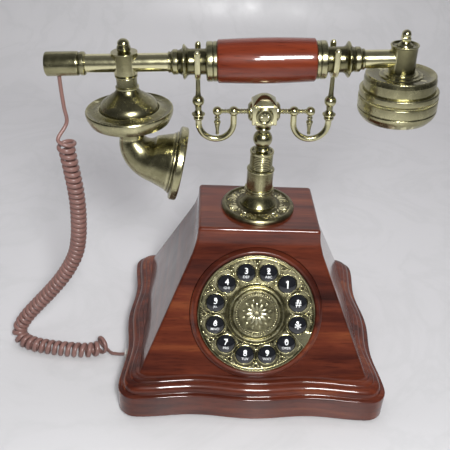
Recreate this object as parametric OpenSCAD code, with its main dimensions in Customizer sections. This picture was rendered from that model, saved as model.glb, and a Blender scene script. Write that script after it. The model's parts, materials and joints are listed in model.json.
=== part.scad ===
// Desk telephone in the French cradle style: a wooden base with a push-button dial, a brass
// column that carries a forked cradle, and a brass and wood handset on a curly cord.
// Millimetres, +Z up, +X towards the earpiece. The origin lies on the table, on the column's axis.

/* [Plinth] */
// Width of the plinth over its widest points
plinth_w = 200; // [185:1:240]
// Depth of the plinth over its widest points
plinth_d = 177; // [165:1:215]
// Radius of the plinth's corners
plinth_corner_r = 14; // [8:1:20]
// Depth of the waves along the plinth's sides
wave_depth = 3.2; // [0:0.2:6]
// Height of the plinth's plain band above the table
band_h = 21.5; // [16:0.5:30]
// Height of the moulding above the band
moulding_h = 10; // [6:0.5:16]
// Distance from the plinth's edge in to the foot of the body
foot_inset = 15.5; // [12:0.5:20]

/* [Body] */
// Width of the body's flat top
body_top_w = 88; // [76:1:110]
// Depth of the body's flat top
body_top_d = 64; // [58:1:84]
// Height of the body's top above the table
body_h = 134; // [124:1:165]
// Height where the sloping sides would meet the upright lip
slope_top_h = 121.8; // [116:0.2:124]
// Radius of the sweep between the lip and the slope
sweep_r = 53; // [30:1:60]
// Thickness of the body's sides
body_wall = 7; // [4:0.5:10]
// Thickness of the body's top board
top_board_t = 10; // [6:0.5:14]

/* [Dial] */
// Radius of the brass dial plate
dial_r = 42.8; // [40:0.2:46]
// Rise of the dial's axis above the level
dial_elev = 28.3; // [25:0.1:31]
// Distance up the front slope from the foot to the dial's centre
dial_rise = 48.5; // [47:0.5:56]
// How far the dial plate stands out from the slope at its centre
dial_proud = 4.6; // [3:0.2:7]
// Thickness of the dial plate
dial_plate_t = 1.6; // [1:0.1:2.5]
// Width of the turned wooden ring round the dial
dial_ring_w = 5.2; // [4:0.2:7]
// Radius of the circle through the keys
key_circle_r = 31; // [29.5:0.1:32]
// Radius of a key
key_r = 6.3; // [5:0.1:6.8]
// Travel of a key
key_travel = 1.5; // [1:0.1:2]
// Outer radius of the ring round the medallion
hub_r = 20.3; // [18:0.1:21]

/* [Column] */
// Radius of the column's flange
flange_r = 27; // [22:0.5:30]
// Radius of the column's plain tube
column_r = 9.6; // [8.4:0.1:11]
// Radius of the ribbed sleeve at the top of the column
sleeve_r = 8.2; // [7:0.1:8.2]
// Height of the column's top above the body
column_rise = 47; // [40:0.5:60]
// Radius of the plunger that carries the cradle
plunger_r = 4; // [3:0.1:4.5]
// Rise of the cradle when the handset is lifted
cradle_travel = 4; // [2:0.5:5]

/* [Cradle] */
// Height of the cradle's arms above the column's top
arm_rise = 29.5; // [28:0.5:36]
// Sideways lean of the resting cradle, in degrees
cradle_lean = 2; // [0:0.1:2.5]
// Distance from the column's axis to each fork
fork_x = 45; // [44:0.5:49]
// Distance from the column's axis to each arm's inner ball
ball_x = 20.7; // [18:0.1:23]
// Radius of the bent tubes
hook_tube_r = 2.2; // [1.8:0.1:2.6]
// Thickness of the fork tines
tine_t = 3; // [2.4:0.1:3.4]

/* [Handset] */
// Height of the handset's axis over the column's top, above the column
handset_rise = 65.3; // [64:0.1:75]
// Sideways lean of the resting handset, in degrees
handset_lean = 3.1; // [0:0.1:3.5]
// Radius of the tube that runs through the handset
tube_r = 6; // [5.4:0.1:6.4]
// Radius of the wooden grip at its middle
grip_r = 14.8; // [13:0.1:17]
// Length of the wooden grip
grip_l = 64.5; // [58:0.5:70]
// Radius of the necks that lie in the forks
neck_r = 8.4; // [7.6:0.1:9.4]
// Distance from the column's axis to the mouthpiece's axis
mouth_x = 95; // [94:0.1:112]
// Distance from the column's axis to the earpiece's axis
ear_x = 88; // [86:0.1:106]
// Radius of the mouthpiece bell
bell_r = 30; // [26:0.2:34]
// Radius of the horn's mouth rim
horn_rim_r = 26.6; // [24:0.2:29]
// Radius of the earpiece's cap
ear_cap_r = 26.7; // [26:0.1:32]
// Length of the end cap
end_cap_l = 22.5; // [20:0.5:30]

/* [Fits] */
// Radial clearance of the plunger in the column
running_gap = 0.05; // [0.02:0.01:0.1]
// Clearance round each key
key_gap = 0.25; // [0.15:0.05:0.4]
// Clearance between pieces that are assembled and don't move
seat_gap = 0.1; // [0.05:0.05:0.3]
// Clearance between the handset's necks and the forks
fork_gap = 0.4; // [0.3:0.05:0.8]

/* [Hidden] */
$fn = 64;

// Colours
mahogany = [0.36, 0.10, 0.05];
cherry = [0.62, 0.22, 0.08];
brass = [0.56, 0.49, 0.28];
black = [0.04, 0.04, 0.05];
steel = [0.60, 0.61, 0.63];
board_green = [0.05, 0.30, 0.16];
felt = [0.10, 0.16, 0.12];
rubber_grey = [0.35, 0.35, 0.36];
mauve = [0.47, 0.31, 0.29];

// Points of an arc round [cx, cy]
function arc(cx, cy, r, a0, a1, n = 8) =
  [for (i = [0:n]) let (a = a0 + (a1 - a0) * i / n) [cx + r * cos(a), cy + r * sin(a)]];

// Swaps the two coordinates, so that an outline along X becomes one along Z
function swapped(points) = [for (p = points) [p[1], p[0]]];

// ---------- Base ----------

pad_t = 1.5;
pad_r = 9;
foot_z = band_h + moulding_h;
foot_w = plinth_w - 2 * foot_inset;
foot_d = plinth_d - 2 * foot_inset;
cavity_w = foot_w - 2 * body_wall;
cavity_d = foot_d - 2 * body_wall;

// Right half of the body's outline: the foot, the slope, the sweep and the upright lip
function flare(half_top, half_foot, foot, top) =
  let (
    slope = atan2(half_foot - half_top, slope_top_h - foot_z),
    tangent = sweep_r * tan(slope / 2)
  )
  concat(
    [[half_foot, foot]],
    [for (p = arc(half_top + sweep_r, slope_top_h + tangent, sweep_r, 180 + slope, 180, 6)) p],
    [[half_top, top]]
  );

module flare_outline(half_top, half_foot, foot, top) {
  right = flare(half_top, half_foot, foot, top);
  left = [for (i = [len(right) - 1:-1:0]) [-right[i][0], right[i][1]]];
  polygon(concat(right, left));
}

// Solid with the body's four swept sides
module swept_block(inset, foot, top) {
  intersection() {
    rotate([90, 0, 0])
      linear_extrude(plinth_d, center = true)
        flare_outline(body_top_w / 2 - inset, foot_w / 2 - inset, foot, top);
    rotate([90, 0, 90])
      linear_extrude(plinth_w, center = true)
        flare_outline(body_top_d / 2 - inset, foot_d / 2 - inset, foot, top);
  }
}

spigot_r = 6;
spigot_l = top_board_t + 8;

module wood_body() {
  color(mahogany)
    difference() {
      swept_block(0, foot_z, body_h);
      swept_block(body_wall, foot_z - 1, body_h - top_board_t);
      translate([-cavity_w / 2, -cavity_d / 2, foot_z - 1])
        cube([cavity_w, cavity_d, 1.5]);
      dial_bore();
      translate([0, 0, body_h - 2 * top_board_t])
        cylinder(h = 3 * top_board_t, r = spigot_r + seat_gap);
    }
}

// One side of the plinth in plan, from its near corner to its far one, with two waves in it
function wavy_side(half_run, out) =
  [for (i = [0:24]) let (t = i / 24)
    [out - wave_depth / 2 * (1 - cos(720 * t)), (2 * t - 1) * half_run]];

function turned(points, a) =
  [for (p = points) [p[0] * cos(a) - p[1] * sin(a), p[0] * sin(a) + p[1] * cos(a)]];

function plinth_outline(inset) =
  let (
    hx = plinth_w / 2 - inset,
    hy = plinth_d / 2 - inset,
    r = max(plinth_corner_r - inset / 2, 3)
  )
  concat(
    wavy_side(hy - r, hx),
    arc(hx - r, hy - r, r, 10, 80, 5),
    turned(wavy_side(hx - r, hy), 90),
    arc(-hx + r, hy - r, r, 100, 170, 5),
    turned(wavy_side(hy - r, hx), 180),
    arc(-hx + r, -hy + r, r, 190, 260, 5),
    turned(wavy_side(hx - r, hy), 270),
    arc(hx - r, -hy + r, r, 280, 350, 5)
  );

// Steps of the moulding: height above the table and inset from the band
moulding_steps = [
  [band_h, 0],
  [band_h + 0.12 * moulding_h, 0.22 * foot_inset],
  [band_h + 0.45 * moulding_h, 0.34 * foot_inset],
  [band_h + 0.75 * moulding_h, 0.48 * foot_inset],
  [foot_z, 0.82 * foot_inset],
];
rebate_h = 4;
bottom_w = cavity_w + 16;
bottom_d = cavity_d + 16;
jack_z = 10.8;
jack_size = [16, 13, 12];
socket_w = 7.8;
socket_h = 6.8;
hand_jack_y = -32;
line_jack_x = 42;

module plinth() {
  color(mahogany)
    difference() {
      for (i = [0:len(moulding_steps) - 1]) {
        low = i == 0 ? pad_t : moulding_steps[i - 1][0];
        translate([0, 0, low])
          linear_extrude(moulding_steps[i][0] - low)
            polygon(plinth_outline(moulding_steps[i][1]));
      }
      translate([-cavity_w / 2, -cavity_d / 2, 0])
        cube([cavity_w, cavity_d, 2 * foot_z]);
      translate([-bottom_w / 2, -bottom_d / 2, 0])
        cube([bottom_w, bottom_d, pad_t + rebate_h]);
      dial_bore();
      jack_seats(seat_gap);
      for (p = screw_places())
        translate([p[0], p[1], pad_t])
          cylinder(h = rebate_h + screw_l, r = screw_r + seat_gap);
    }
}

plate_t = 1.6;
screw_r = 1.5;
screw_head_r = 3;
screw_l = 10;
function screw_places() = [
  for (x = [-1, 1], y = [-1, 1])
    [x * (cavity_w / 2 + 4), y * (cavity_d / 2 - 12)]
];
plate_z = pad_t + rebate_h - plate_t;

module bottom_plate() {
  color(steel)
    difference() {
      translate([-bottom_w / 2 + 0.5, -bottom_d / 2 + 0.5, plate_z])
        cube([bottom_w - 1, bottom_d - 1, plate_t]);
      for (p = screw_places())
        translate([p[0], p[1], 0])
          cylinder(h = foot_z, r = screw_r + 2 * seat_gap);
      jack_seats(0.5);
    }
}

module bottom_screws() {
  color(steel)
    for (p = screw_places())
      translate([p[0], p[1], 0]) {
        translate([0, 0, plate_z - 1.6])
          cylinder(h = 1.6, r = screw_head_r);
        translate([0, 0, plate_z - 1.6])
          cylinder(h = screw_l, r = screw_r);
      }
}

pad_inset = 13;

module felt_pads() {
  color(felt)
    for (x = [-1, 1], y = [-1, 1])
      translate([x * (plinth_w / 2 - pad_inset), y * (plinth_d / 2 - pad_inset), 0])
        cylinder(h = pad_t, r = pad_r);
}

inside_z = plate_z + plate_t;

board_z = inside_z + 6;

module main_board() {
  color(board_green)
    difference() {
      union() {
        translate([-55, -50, board_z])
          cube([70, 56, 1.6]);
        for (x = [-51, 11], y = [-46, 2])
          translate([x, y, inside_z])
            cylinder(h = 6, r = 3);
        translate([-40, -35, board_z + 1.6])
          cube([16, 8, 3]);
        translate([-15, -38, board_z + 1.6])
          cube([12, 20, 6]);
        for (i = [0:3])
          translate([-46 + 9 * i, -12, board_z + 1.6])
            cylinder(h = 8, r = 3);
      }
      for (x = [-51, 11], y = [-46, 2])
        translate([x, y, inside_z + 1])
          cylinder(h = 10, r = 1.3);
    }
}

module ringer() {
  color(black)
    translate([42, -22, inside_z])
      difference() {
        cylinder(h = 12, r = 17);
        translate([0, 0, 10])
          cylinder(h = 4, r = 15);
        for (a = [0:60:300])
          rotate(a)
            translate([8, 0, 4])
              cylinder(h = 8, r = 1.5);
      }
}

// Puts children at the handset's jack, with +X out of the plinth
module at_hand_jack() {
  translate([-plinth_w / 2 + wave_depth, hand_jack_y, jack_z])
    rotate([0, 0, 180])
      children();
}

// Both jacks, with their sockets facing outwards
module at_jacks() {
  at_hand_jack()
    children();
  translate([line_jack_x, plinth_d / 2 - wave_depth, jack_z])
    rotate([0, 0, 90])
      children();
}

module jack_seats(gap) {
  at_jacks()
    translate([-jack_size[0] - 8, -jack_size[1] / 2 - gap, -jack_size[2] / 2 - gap])
      cube([jack_size[0] + 12 + wave_depth, jack_size[1] + 2 * gap, jack_size[2] + 2 * gap]);
}

module modular_jacks() {
  color(black)
    at_jacks()
      difference() {
        translate([-jack_size[0], -jack_size[1] / 2, -jack_size[2] / 2])
          cube(jack_size);
        translate([-10, -socket_w / 2, -socket_h / 2])
          cube([12, socket_w, socket_h]);
        translate([-10, -1.6, 2])
          cube([12, 3.2, 3]);
      }
}

// ---------- Dial ----------

face_lean = atan2((foot_d - body_top_d) / 2, slope_top_h - foot_z);
dial_y = -foot_d / 2 + dial_rise * sin(face_lean) - dial_proud * cos(face_lean);
dial_z = foot_z + dial_rise * cos(face_lean) + dial_proud * sin(face_lean);
ring_in = dial_r + 0.3;
ring_out = ring_in + dial_ring_w;
ring_depth = 12;
bore_gap = 0.4;

// Puts children on the dial: its plate's front is the plane z = 0, and +Y runs up the dial
module at_dial() {
  translate([0, dial_y, dial_z])
    rotate([90 - dial_elev, 0, 0])
      children();
}

module dial_bore() {
  at_dial()
    translate([0, 0, -26])
      cylinder(h = 60, r = ring_out + bore_gap, $fn = 96);
}

module dial_ring() {
  crown = [for (p = arc(ring_in + 1.6, -1.1, 1.6, 180, 60, 6)) p];
  color(mahogany)
    at_dial()
      rotate_extrude($fn = 96)
        polygon(concat(
          [[ring_in, -ring_depth]],
          crown,
          [[ring_out - 0.8, -1.9], [ring_out, -2.8], [ring_out, -ring_depth]]
        ));
}

housing_t = 2;
housing_depth = 22;

module dial_housing() {
  color(black)
    at_dial()
      difference() {
        union() {
          translate([0, 0, -housing_depth])
            cylinder(h = housing_depth - dial_plate_t, r = dial_r - 0.4);
          translate([0, 0, -ring_depth - housing_t])
            cylinder(h = housing_t, r = ring_out - 0.5);
        }
        translate([0, 0, -housing_depth + housing_t])
          cylinder(h = housing_depth, r = dial_r - 0.4 - housing_t);
        translate([0, 20, -housing_depth - 1])
          cylinder(h = 10, r = 5);
      }
}

key_names = ["1", "2", "3", "4", "5", "6", "7", "8", "9", "0", "star", "hash"];
first_key_angle = 46;

module at_key(i) {
  rotate(first_key_angle + 30 * i)
    translate([key_circle_r, 0, 0])
      rotate(-first_key_angle - 30 * i)
        children();
}

medallion_r = hub_r - 2.9;
rim_w = 1.6;
rim_h = 0.8;

module dial_plate() {
  color(brass)
    at_dial()
      difference() {
        union() {
          translate([0, 0, -dial_plate_t])
            cylinder(h = dial_plate_t, r = dial_r - 0.6, $fn = 96);
          rotate_extrude($fn = 96)
            polygon([
              [dial_r - rim_w, -dial_plate_t],
              [dial_r - rim_w, 0.5 * rim_h],
              [dial_r - 0.6 * rim_w, rim_h],
              [dial_r - 0.2 * rim_w, rim_h],
              [dial_r, 0.4 * rim_h],
              [dial_r, -dial_plate_t],
            ]);
        }
        for (i = [0:11])
          at_key(i)
            translate([0, 0, -2 * dial_plate_t])
              cylinder(h = 4 * dial_plate_t, r = key_r + key_gap);
        translate([0, 0, -2 * dial_plate_t])
          cylinder(h = 4 * dial_plate_t, r = 2);
      }
}

module hub_ring() {
  color(brass)
    at_dial()
      rotate_extrude($fn = 96)
        polygon(concat(
          [[hub_r - 1.7, 0], [hub_r - 1.7, 1.2]],
          arc(hub_r - 0.85, 1.2, 0.85, 180, 0, 8),
          [[hub_r, 0]]
        ));
}

module medallion() {
  color(brass)
    at_dial() {
      rotate_extrude($fn = 96)
        polygon([
          [0, 0], [medallion_r, 0], [medallion_r, 1.1], [medallion_r - 0.5, 1.6],
          [medallion_r - 1.4, 1.6], [medallion_r - 2, 1.1], [0, 1.3],
        ]);
      translate([0, 0, -4])
        cylinder(h = 4, r = 2 - seat_gap);
    }
}

stop_from = -34;
stop_to = -17;

module finger_stop() {
  color(brass)
    at_dial()
      difference() {
        translate([0, 0, rim_h])
          linear_extrude(0.9)
            polygon(concat(
              arc(0, 0, dial_r - 0.2, stop_from, stop_to, 8),
              [[(key_circle_r - 2.5) * cos(stop_from + 7), (key_circle_r - 2.5) * sin(stop_from + 7)]]
            ));
        at_key(10)
          cylinder(h = 6, r = key_r + 2 * key_gap);
      }
}

key_flange_t = 1.2;
key_stem_h = 1.3;
key_crown = 2.1;
key_edge = 1.2;

// A domed key with a flange under the plate that keeps it in
module key(i) {
  flange_top = -dial_plate_t - seat_gap;
  crown_r = (key_r * key_r + key_crown * key_crown) / (2 * key_crown);
  half = asin(key_r / crown_r);
  top = [for (p = arc(0, key_edge + key_crown - crown_r, crown_r, 90 - half, 90, 8)) [max(p[0], 0), p[1]]];
  color(black)
    at_dial()
      at_key(i)
        rotate_extrude($fn = 48)
          polygon(concat(
            [
              [0, flange_top - key_flange_t - key_stem_h],
              [2.5, flange_top - key_flange_t - key_stem_h],
              [2.5, flange_top - key_flange_t],
              [key_r + 1.1, flange_top - key_flange_t],
              [key_r + 1.1, flange_top],
              [key_r, flange_top],
            ],
            top
          ));
}

key_foot_z = -dial_plate_t - seat_gap - key_flange_t - key_stem_h;
dome_top_z = key_foot_z - key_travel - 0.3;
membrane_t = 1;
dome_h = 2;
membrane_z = dome_top_z - dome_h - membrane_t;
inner_r = dial_r - 0.4 - housing_t - 0.5;

module keypad_membrane() {
  color(rubber_grey)
    at_dial() {
      translate([0, 0, membrane_z])
        cylinder(h = membrane_t, r = inner_r);
      for (i = [0:11])
        at_key(i)
          translate([0, 0, membrane_z + membrane_t])
            rotate_extrude($fn = 32)
              polygon([[0, -0.4], [4, -0.4], [4, 0], [3, dome_h], [0, dome_h]]);
    }
}

module keypad_board() {
  color(board_green)
    at_dial()
      difference() {
        union() {
          translate([0, 0, membrane_z - 1.6])
            cylinder(h = 1.6, r = inner_r);
          for (a = [45:90:315])
            rotate(a)
              translate([inner_r - 4, 0, -housing_depth + housing_t])
                cylinder(h = membrane_z - 1 + housing_depth - housing_t, r = 2.5);
        }
        translate([-6, -12, membrane_z - 3])
          cube([12, 5, 2]);
      }
}

// ---------- Column ----------

column_top = body_h + column_rise;
flange_t = 3.8;
skirt_h = 13.5;
skirt_top = body_h + flange_t + skirt_h;
sleeve_h = 13.5;
column_bore_r = plunger_r + running_gap;

module column_flange() {
  color(brass)
    translate([0, 0, body_h])
      rotate_extrude($fn = 96)
        polygon([
          [spigot_r + seat_gap, 0],
          [flange_r, 0],
          [flange_r, 0.55 * flange_t],
          [flange_r - 0.8, 0.9 * flange_t],
          [flange_r - 2.2, flange_t],
          [flange_r - 3.4, 0.75 * flange_t],
          [0.55 * flange_r, 0.95 * flange_t],
          [0.5 * flange_r, flange_t],
          [spigot_r + seat_gap, flange_t],
        ]);
}

module column_skirt() {
  foot_r = column_r + 3.2;
  color(brass)
    translate([0, 0, body_h + flange_t])
      rotate_extrude()
        polygon(concat(
          [[spigot_r + seat_gap, 0], [foot_r, 0], [foot_r - 0.2, 0.8]],
          arc(foot_r + 16.6, 13.2, 20, 217, 180 + 8, 6),
          [
            [column_r + 1.2, skirt_h - 3],
            [column_r + 1.2, skirt_h - 1.9],
            [column_r + 0.6, skirt_h - 1.5],
            [column_r + 1, skirt_h - 1],
            [column_r + 1, skirt_h - 0.2],
            [column_r + 0.6, skirt_h],
            [spigot_r + seat_gap, skirt_h],
          ]
        ));
}

rib_count = 8;

// Plain tube, ribbed sleeve and top rim, with the spigot that goes down through the top board
module column_tube() {
  rib_foot = column_top - sleeve_h;
  rib_pitch = (sleeve_h - 2.6) / rib_count;
  ribs = [
    for (i = [0:rib_count - 1], s = [[0, 0], [0.25, 0.35], [0.75, 0.35]])
      [sleeve_r - 0.35 + s[1], rib_foot + (i + s[0]) * rib_pitch]
  ];
  color(brass)
    rotate_extrude()
      polygon(concat(
        [
          [column_bore_r, body_h - spigot_l],
          [spigot_r, body_h - spigot_l],
          [spigot_r, skirt_top],
          [column_r, skirt_top],
          [column_r, rib_foot - 2.4],
          [column_r + 0.4, rib_foot - 2.1],
          [column_r + 0.4, rib_foot - 1.2],
          [column_r - 0.3, rib_foot - 0.4],
        ],
        ribs,
        [
          [sleeve_r - 0.3, column_top - 2.6],
          [sleeve_r + 0.4, column_top - 2],
          [sleeve_r + 0.4, column_top - 0.4],
          [sleeve_r, column_top],
          [sleeve_r - 0.9, column_top],
          [sleeve_r - 1.6, column_top - 1.2],
          [column_bore_r, column_top - 1.6],
        ]
      ));
}

nut_h = 5;

module column_nut() {
  color(steel)
    translate([0, 0, body_h - top_board_t - nut_h])
      difference() {
        cylinder(h = nut_h, r = 10.5, $fn = 6);
        translate([0, 0, -1])
          cylinder(h = nut_h + 2, r = spigot_r + seat_gap);
      }
}

plunger_foot = body_h - spigot_l - 9;
collar_h = 2;
lever_gap = 0.4;
bracket_w = 16;

// Switch under the plunger, on a bracket that hangs from the top board
module hook_switch() {
  bracket_x = 15;
  top = body_h - top_board_t;
  lever_top = plunger_foot - lever_gap;
  color(black) {
    translate([-5, -4, lever_top - 14.6])
      cube([bracket_x + 5, 8, 12]);
    translate([-4, -2, lever_top - 2.7])
      cube([3, 4, 2]);
    translate([-5, -3, lever_top - 0.8])
      cube([18, 6, 0.8]);
    translate([10, -3, lever_top - 3])
      cube([3, 6, 3]);
    translate([bracket_x, -bracket_w / 2, lever_top - 16])
      cube([1.6, bracket_w, top - lever_top + 16]);
    translate([bracket_x, -bracket_w / 2, top - 1.6])
      cube([12, bracket_w, 1.6]);
  }
}

// ---------- Cradle ----------

arm_z = column_top + arm_rise;
block_w = 17;
block_h = 14;
block_low = arm_z - block_h / 2;

// Leans the cradle's visible part about the column's top
module at_cradle() {
  translate([0, 0, column_top])
    rotate([0, -cradle_lean, 0])
      translate([0, 0, -column_top])
        children();
}

plunger_top = column_top + 5;
baluster_bore_r = plunger_r + 0.5;

module plunger() {
  color(brass)
    rotate_extrude()
      polygon([
        [0, plunger_foot],
        [plunger_r - 1, plunger_foot],
        [plunger_r, plunger_foot + 1],
        [plunger_r, plunger_foot + 2],
        [plunger_r + 2.2, plunger_foot + 2],
        [plunger_r + 2.2, plunger_foot + 2 + collar_h],
        [plunger_r, plunger_foot + 2 + collar_h],
        [plunger_r, plunger_top],
        [0, plunger_top],
      ]);
}

cradle_ball_r = 6.8;

// Foot ring, ball, neck and cup that carry the head block
module baluster() {
  ball_z = column_top + 9;
  ring_z = block_low - 5.6;
  color(brass)
    at_cradle()
      difference() {
        rotate_extrude()
          polygon(concat(
            [[0, column_top + 0.8], [5.6, column_top + 0.8], [6, column_top + 1.4], [5, column_top + 2.6]],
            arc(0, ball_z, cradle_ball_r, -48, 55, 12),
            [
              [3.9, ring_z - 0.8],
              [5.2, ring_z - 0.4],
              [5.6, ring_z + 0.4],
              [5.2, ring_z + 1.2],
              [4.4, ring_z + 1.7],
            ],
            arc(3, block_low + 0.7, 4.8, -42, -2, 5),
            [[7.8, block_low + 0.9], [0, block_low + 0.9]]
          ));
        translate([0, 0, column_top])
          cylinder(h = plunger_top - column_top + 0.6, r = baluster_bore_r);
      }
}

module head_block() {
  bevel = 1.6;
  color(brass)
    at_cradle() {
      difference() {
        translate([-block_w / 2, -block_w / 2, block_low])
          cube([block_w, block_w, block_h]);
        translate([0, 0, block_low - 1])
          cylinder(h = 1.9, r = 8);
      }
      hull() {
        translate([-block_w / 2 + 0.8, -block_w / 2 + 0.8, block_low + block_h])
          cube([block_w - 1.6, block_w - 1.6, 0.6]);
        translate([0, 0, block_low + block_h + 5.2])
          cylinder(h = 0.6, r = 2, $fn = 24);
        translate([0, 0, block_low + block_h + 3])
          cylinder(h = 0.6, r = 5.6, $fn = 24);
      }
      for (side = [-1, 1])
        translate([0, side * block_w / 2, arm_z])
          rotate([-90 * side, 0, 0])
            rotate_extrude()
              polygon([[0, -1], [6, -1], [6, 1.4], [5.4, 2], [4.4, 2], [3.8, 1.7], [0, 2.5]]);
    }
}

outer_ball_x = ball_x + 11.3;
hook_bend_r = (fork_x - ball_x) / 2;
hook_x = (fork_x + ball_x) / 2;
finial_l = 17.5;
finial_gap = 1.05;
bend_z = arm_z - finial_l - finial_gap - hook_tube_r + hook_bend_r;
fork_foot = arm_z - 6;

// A beaded rod along X from x0 to x1
module beaded_rod(x0, x1, rod_r, bead_r, beads) {
  step = (x1 - x0) / beads;
  translate([x0, 0, arm_z])
    rotate([0, 90, 0])
      rotate_extrude($fn = 32)
        polygon(concat(
          [[0, 0]],
          [
            for (i = [0:beads - 1], s = [[0, 0], [0.25, 0.8], [0.5, 1], [0.75, 0.8]])
              [rod_r + (bead_r - rod_r) * s[1], (i + s[0]) * step]
          ],
          [[rod_r, x1 - x0], [0, x1 - x0]]
        ));
}

// Washer, beaded rods, two balls, drop finial and the bent tube
module arm() {
  washer_x = block_w / 2;
  translate([washer_x, 0, arm_z])
    rotate([0, 90, 0])
      rotate_extrude($fn = 48)
        polygon([[0, 0], [6.6, 0], [6.6, 1.2], [5.4, 2.2], [2.4, 2.6], [0, 2.6]]);
  beaded_rod(washer_x + 2, ball_x - 2.6, 1.3, 1.9, 4);
  translate([ball_x, 0, arm_z])
    sphere(r = 3.5, $fn = 48);
  beaded_rod(ball_x + 2.8, outer_ball_x - 2.6, 1.1, 1.6, 3);
  translate([outer_ball_x, 0, arm_z])
    sphere(r = 3.3, $fn = 48);
  translate([outer_ball_x, 0, arm_z - finial_l])
    rotate_extrude($fn = 32)
      polygon(concat(
        arc(0, 1.3, 1.3, -90, 20, 5),
        [
          [1.1, 2.6],
          [1.4, 5.5],
          [2, 8.4],
          [2.4, 9.2],
          [2.3, 10.2],
          [1.5, 10.8],
          [1.5, 12],
          [2, 12.4],
          [1.9, 13.2],
          [1.3, 13.8],
          [1.6, finial_l - 1],
          [0, finial_l - 1],
        ]
      ));
  translate([ball_x, 0, bend_z])
    cylinder(h = arm_z - bend_z, r = hook_tube_r, $fn = 32);
  translate([hook_x, 0, bend_z])
    rotate([90, 0, 0])
      rotate([0, 0, 180])
        rotate_extrude(angle = 180, $fn = 64)
          translate([hook_bend_r, 0])
            circle(r = hook_tube_r, $fn = 32);
  translate([fork_x, 0, bend_z])
    cylinder(h = fork_foot - bend_z, r = hook_tube_r, $fn = 32);
}

module arm_left() {
  color(brass)
    at_cradle()
      mirror([1, 0, 0])
        arm();
}

module arm_right() {
  color(brass)
    at_cradle()
      arm();
}

handset_z = column_top + handset_rise;

// Height of the handset's axis over a fork, in the leaning cradle's own frame
function seat_z(side) =
  let (
    h = handset_rise,
    lean = handset_lean - cradle_lean
  )
  column_top + h * cos(cradle_lean) + side * fork_x * tan(lean) - h * sin(cradle_lean) * tan(lean);

tine_w = 4;

// Collar, bulb and stem, and two tines that straddle the handset's neck
module fork(side) {
  z = seat_z(side);
  saddle_r = neck_r + fork_gap;
  outer_r = saddle_r + tine_t;
  tip_z = z + 8.5;
  stem_top = z - saddle_r - 0.6 * tine_t;
  bulb_z = arm_z + 7.5;
  difference() {
    union() {
      translate([side * fork_x, 0, 0])
        rotate_extrude($fn = 48)
          polygon(concat(
            [
              [0, fork_foot],
              [3, fork_foot],
              [3.5, fork_foot + 0.8],
              [3.5, fork_foot + 1.6],
              [2.8, fork_foot + 2.2],
              [3.4, fork_foot + 2.7],
              [4.6, fork_foot + 3.6],
              [4.6, fork_foot + 4.4],
              [3, fork_foot + 5.2],
              [2.1, fork_foot + 7],
              [2.4, bulb_z - 3.8],
            ],
            arc(0, bulb_z, 4.1, -50, 62, 8),
            [[1.6, bulb_z + 7], [1.5, stem_top], [0, stem_top]]
          ));
      translate([side * fork_x - tine_w / 2, 0, z])
        rotate([90, 0, 90])
          linear_extrude(tine_w)
            difference() {
              union() {
                circle(r = outer_r);
                for (edge = [-1, 1])
                  translate([edge * (saddle_r + tine_t / 2), (tip_z - z) / 2])
                    square([tine_t, tip_z - z], center = true);
              }
              circle(r = saddle_r);
              translate([-saddle_r, 0])
                square([2 * saddle_r, 2 * outer_r]);
              translate([-2 * outer_r, tip_z - z])
                square(4 * outer_r);
            }
      for (edge = [-1, 1])
        translate([side * fork_x, edge * (saddle_r + tine_t / 2), tip_z])
          sphere(r = tine_t / 2 + 0.3, $fn = 32);
    }
    translate([side * fork_x, 0, z])
      rotate([0, -(handset_lean - cradle_lean), 0])
        rotate([0, 90, 0])
          cylinder(h = 20, r = neck_r + fork_gap - 0.1, center = true);
  }
}

module fork_left() {
  color(brass)
    at_cradle()
      fork(-1);
}

module fork_right() {
  color(brass)
    at_cradle()
      fork(1);
}

// ---------- Handset ----------

// Puts children on the handset: its tube runs along X and the mouthpiece hangs down -Z
module at_handset() {
  translate([0, 0, handset_z])
    rotate([0, -handset_lean, 0])
      children();
}

// Revolves an outline of [x, r] points about the handset's tube
module turn_along(points, sides = 64) {
  rotate([0, 90, 0])
    rotate_extrude($fn = sides)
      polygon(swapped(points));
}

tube_bore = tube_r + seat_gap;
grip_end = grip_l / 2 - 2.2;
grip_start = grip_end - grip_l;
collar_l = 7.2;
neck_l = 11;
flare_l = 14;
mouth_collar_r = neck_r + 4.6;
ear_collar_r = neck_r + 4.1;
ferrule_start = grip_start - collar_l - neck_l - flare_l;
ferrule_end = grip_end + collar_l + neck_l + flare_l;
cap_end = -mouth_x - 52;
cap_start = cap_end + end_cap_l;

module core_tube() {
  color(brass)
    at_handset()
      turn_along([
        [cap_start - 8, tube_r - 1.2],
        [cap_start - 8, tube_r],
        [ear_x + 4, tube_r],
        [ear_x + 4, tube_r - 1.2],
      ]);
}

module grip() {
  end_r = grip_r - 0.8;
  swell = [for (i = [0:8]) let (t = i / 8)
    [grip_start + 1.2 + (grip_l - 2.4) * t, end_r + (grip_r - end_r) * sin(180 * t)]];
  color(cherry)
    at_handset()
      turn_along(concat(
        [[grip_start, tube_bore], [grip_start, end_r - 1.4]],
        swell,
        [[grip_end, end_r - 1.4], [grip_end, tube_bore]]
      ));
}

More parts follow.
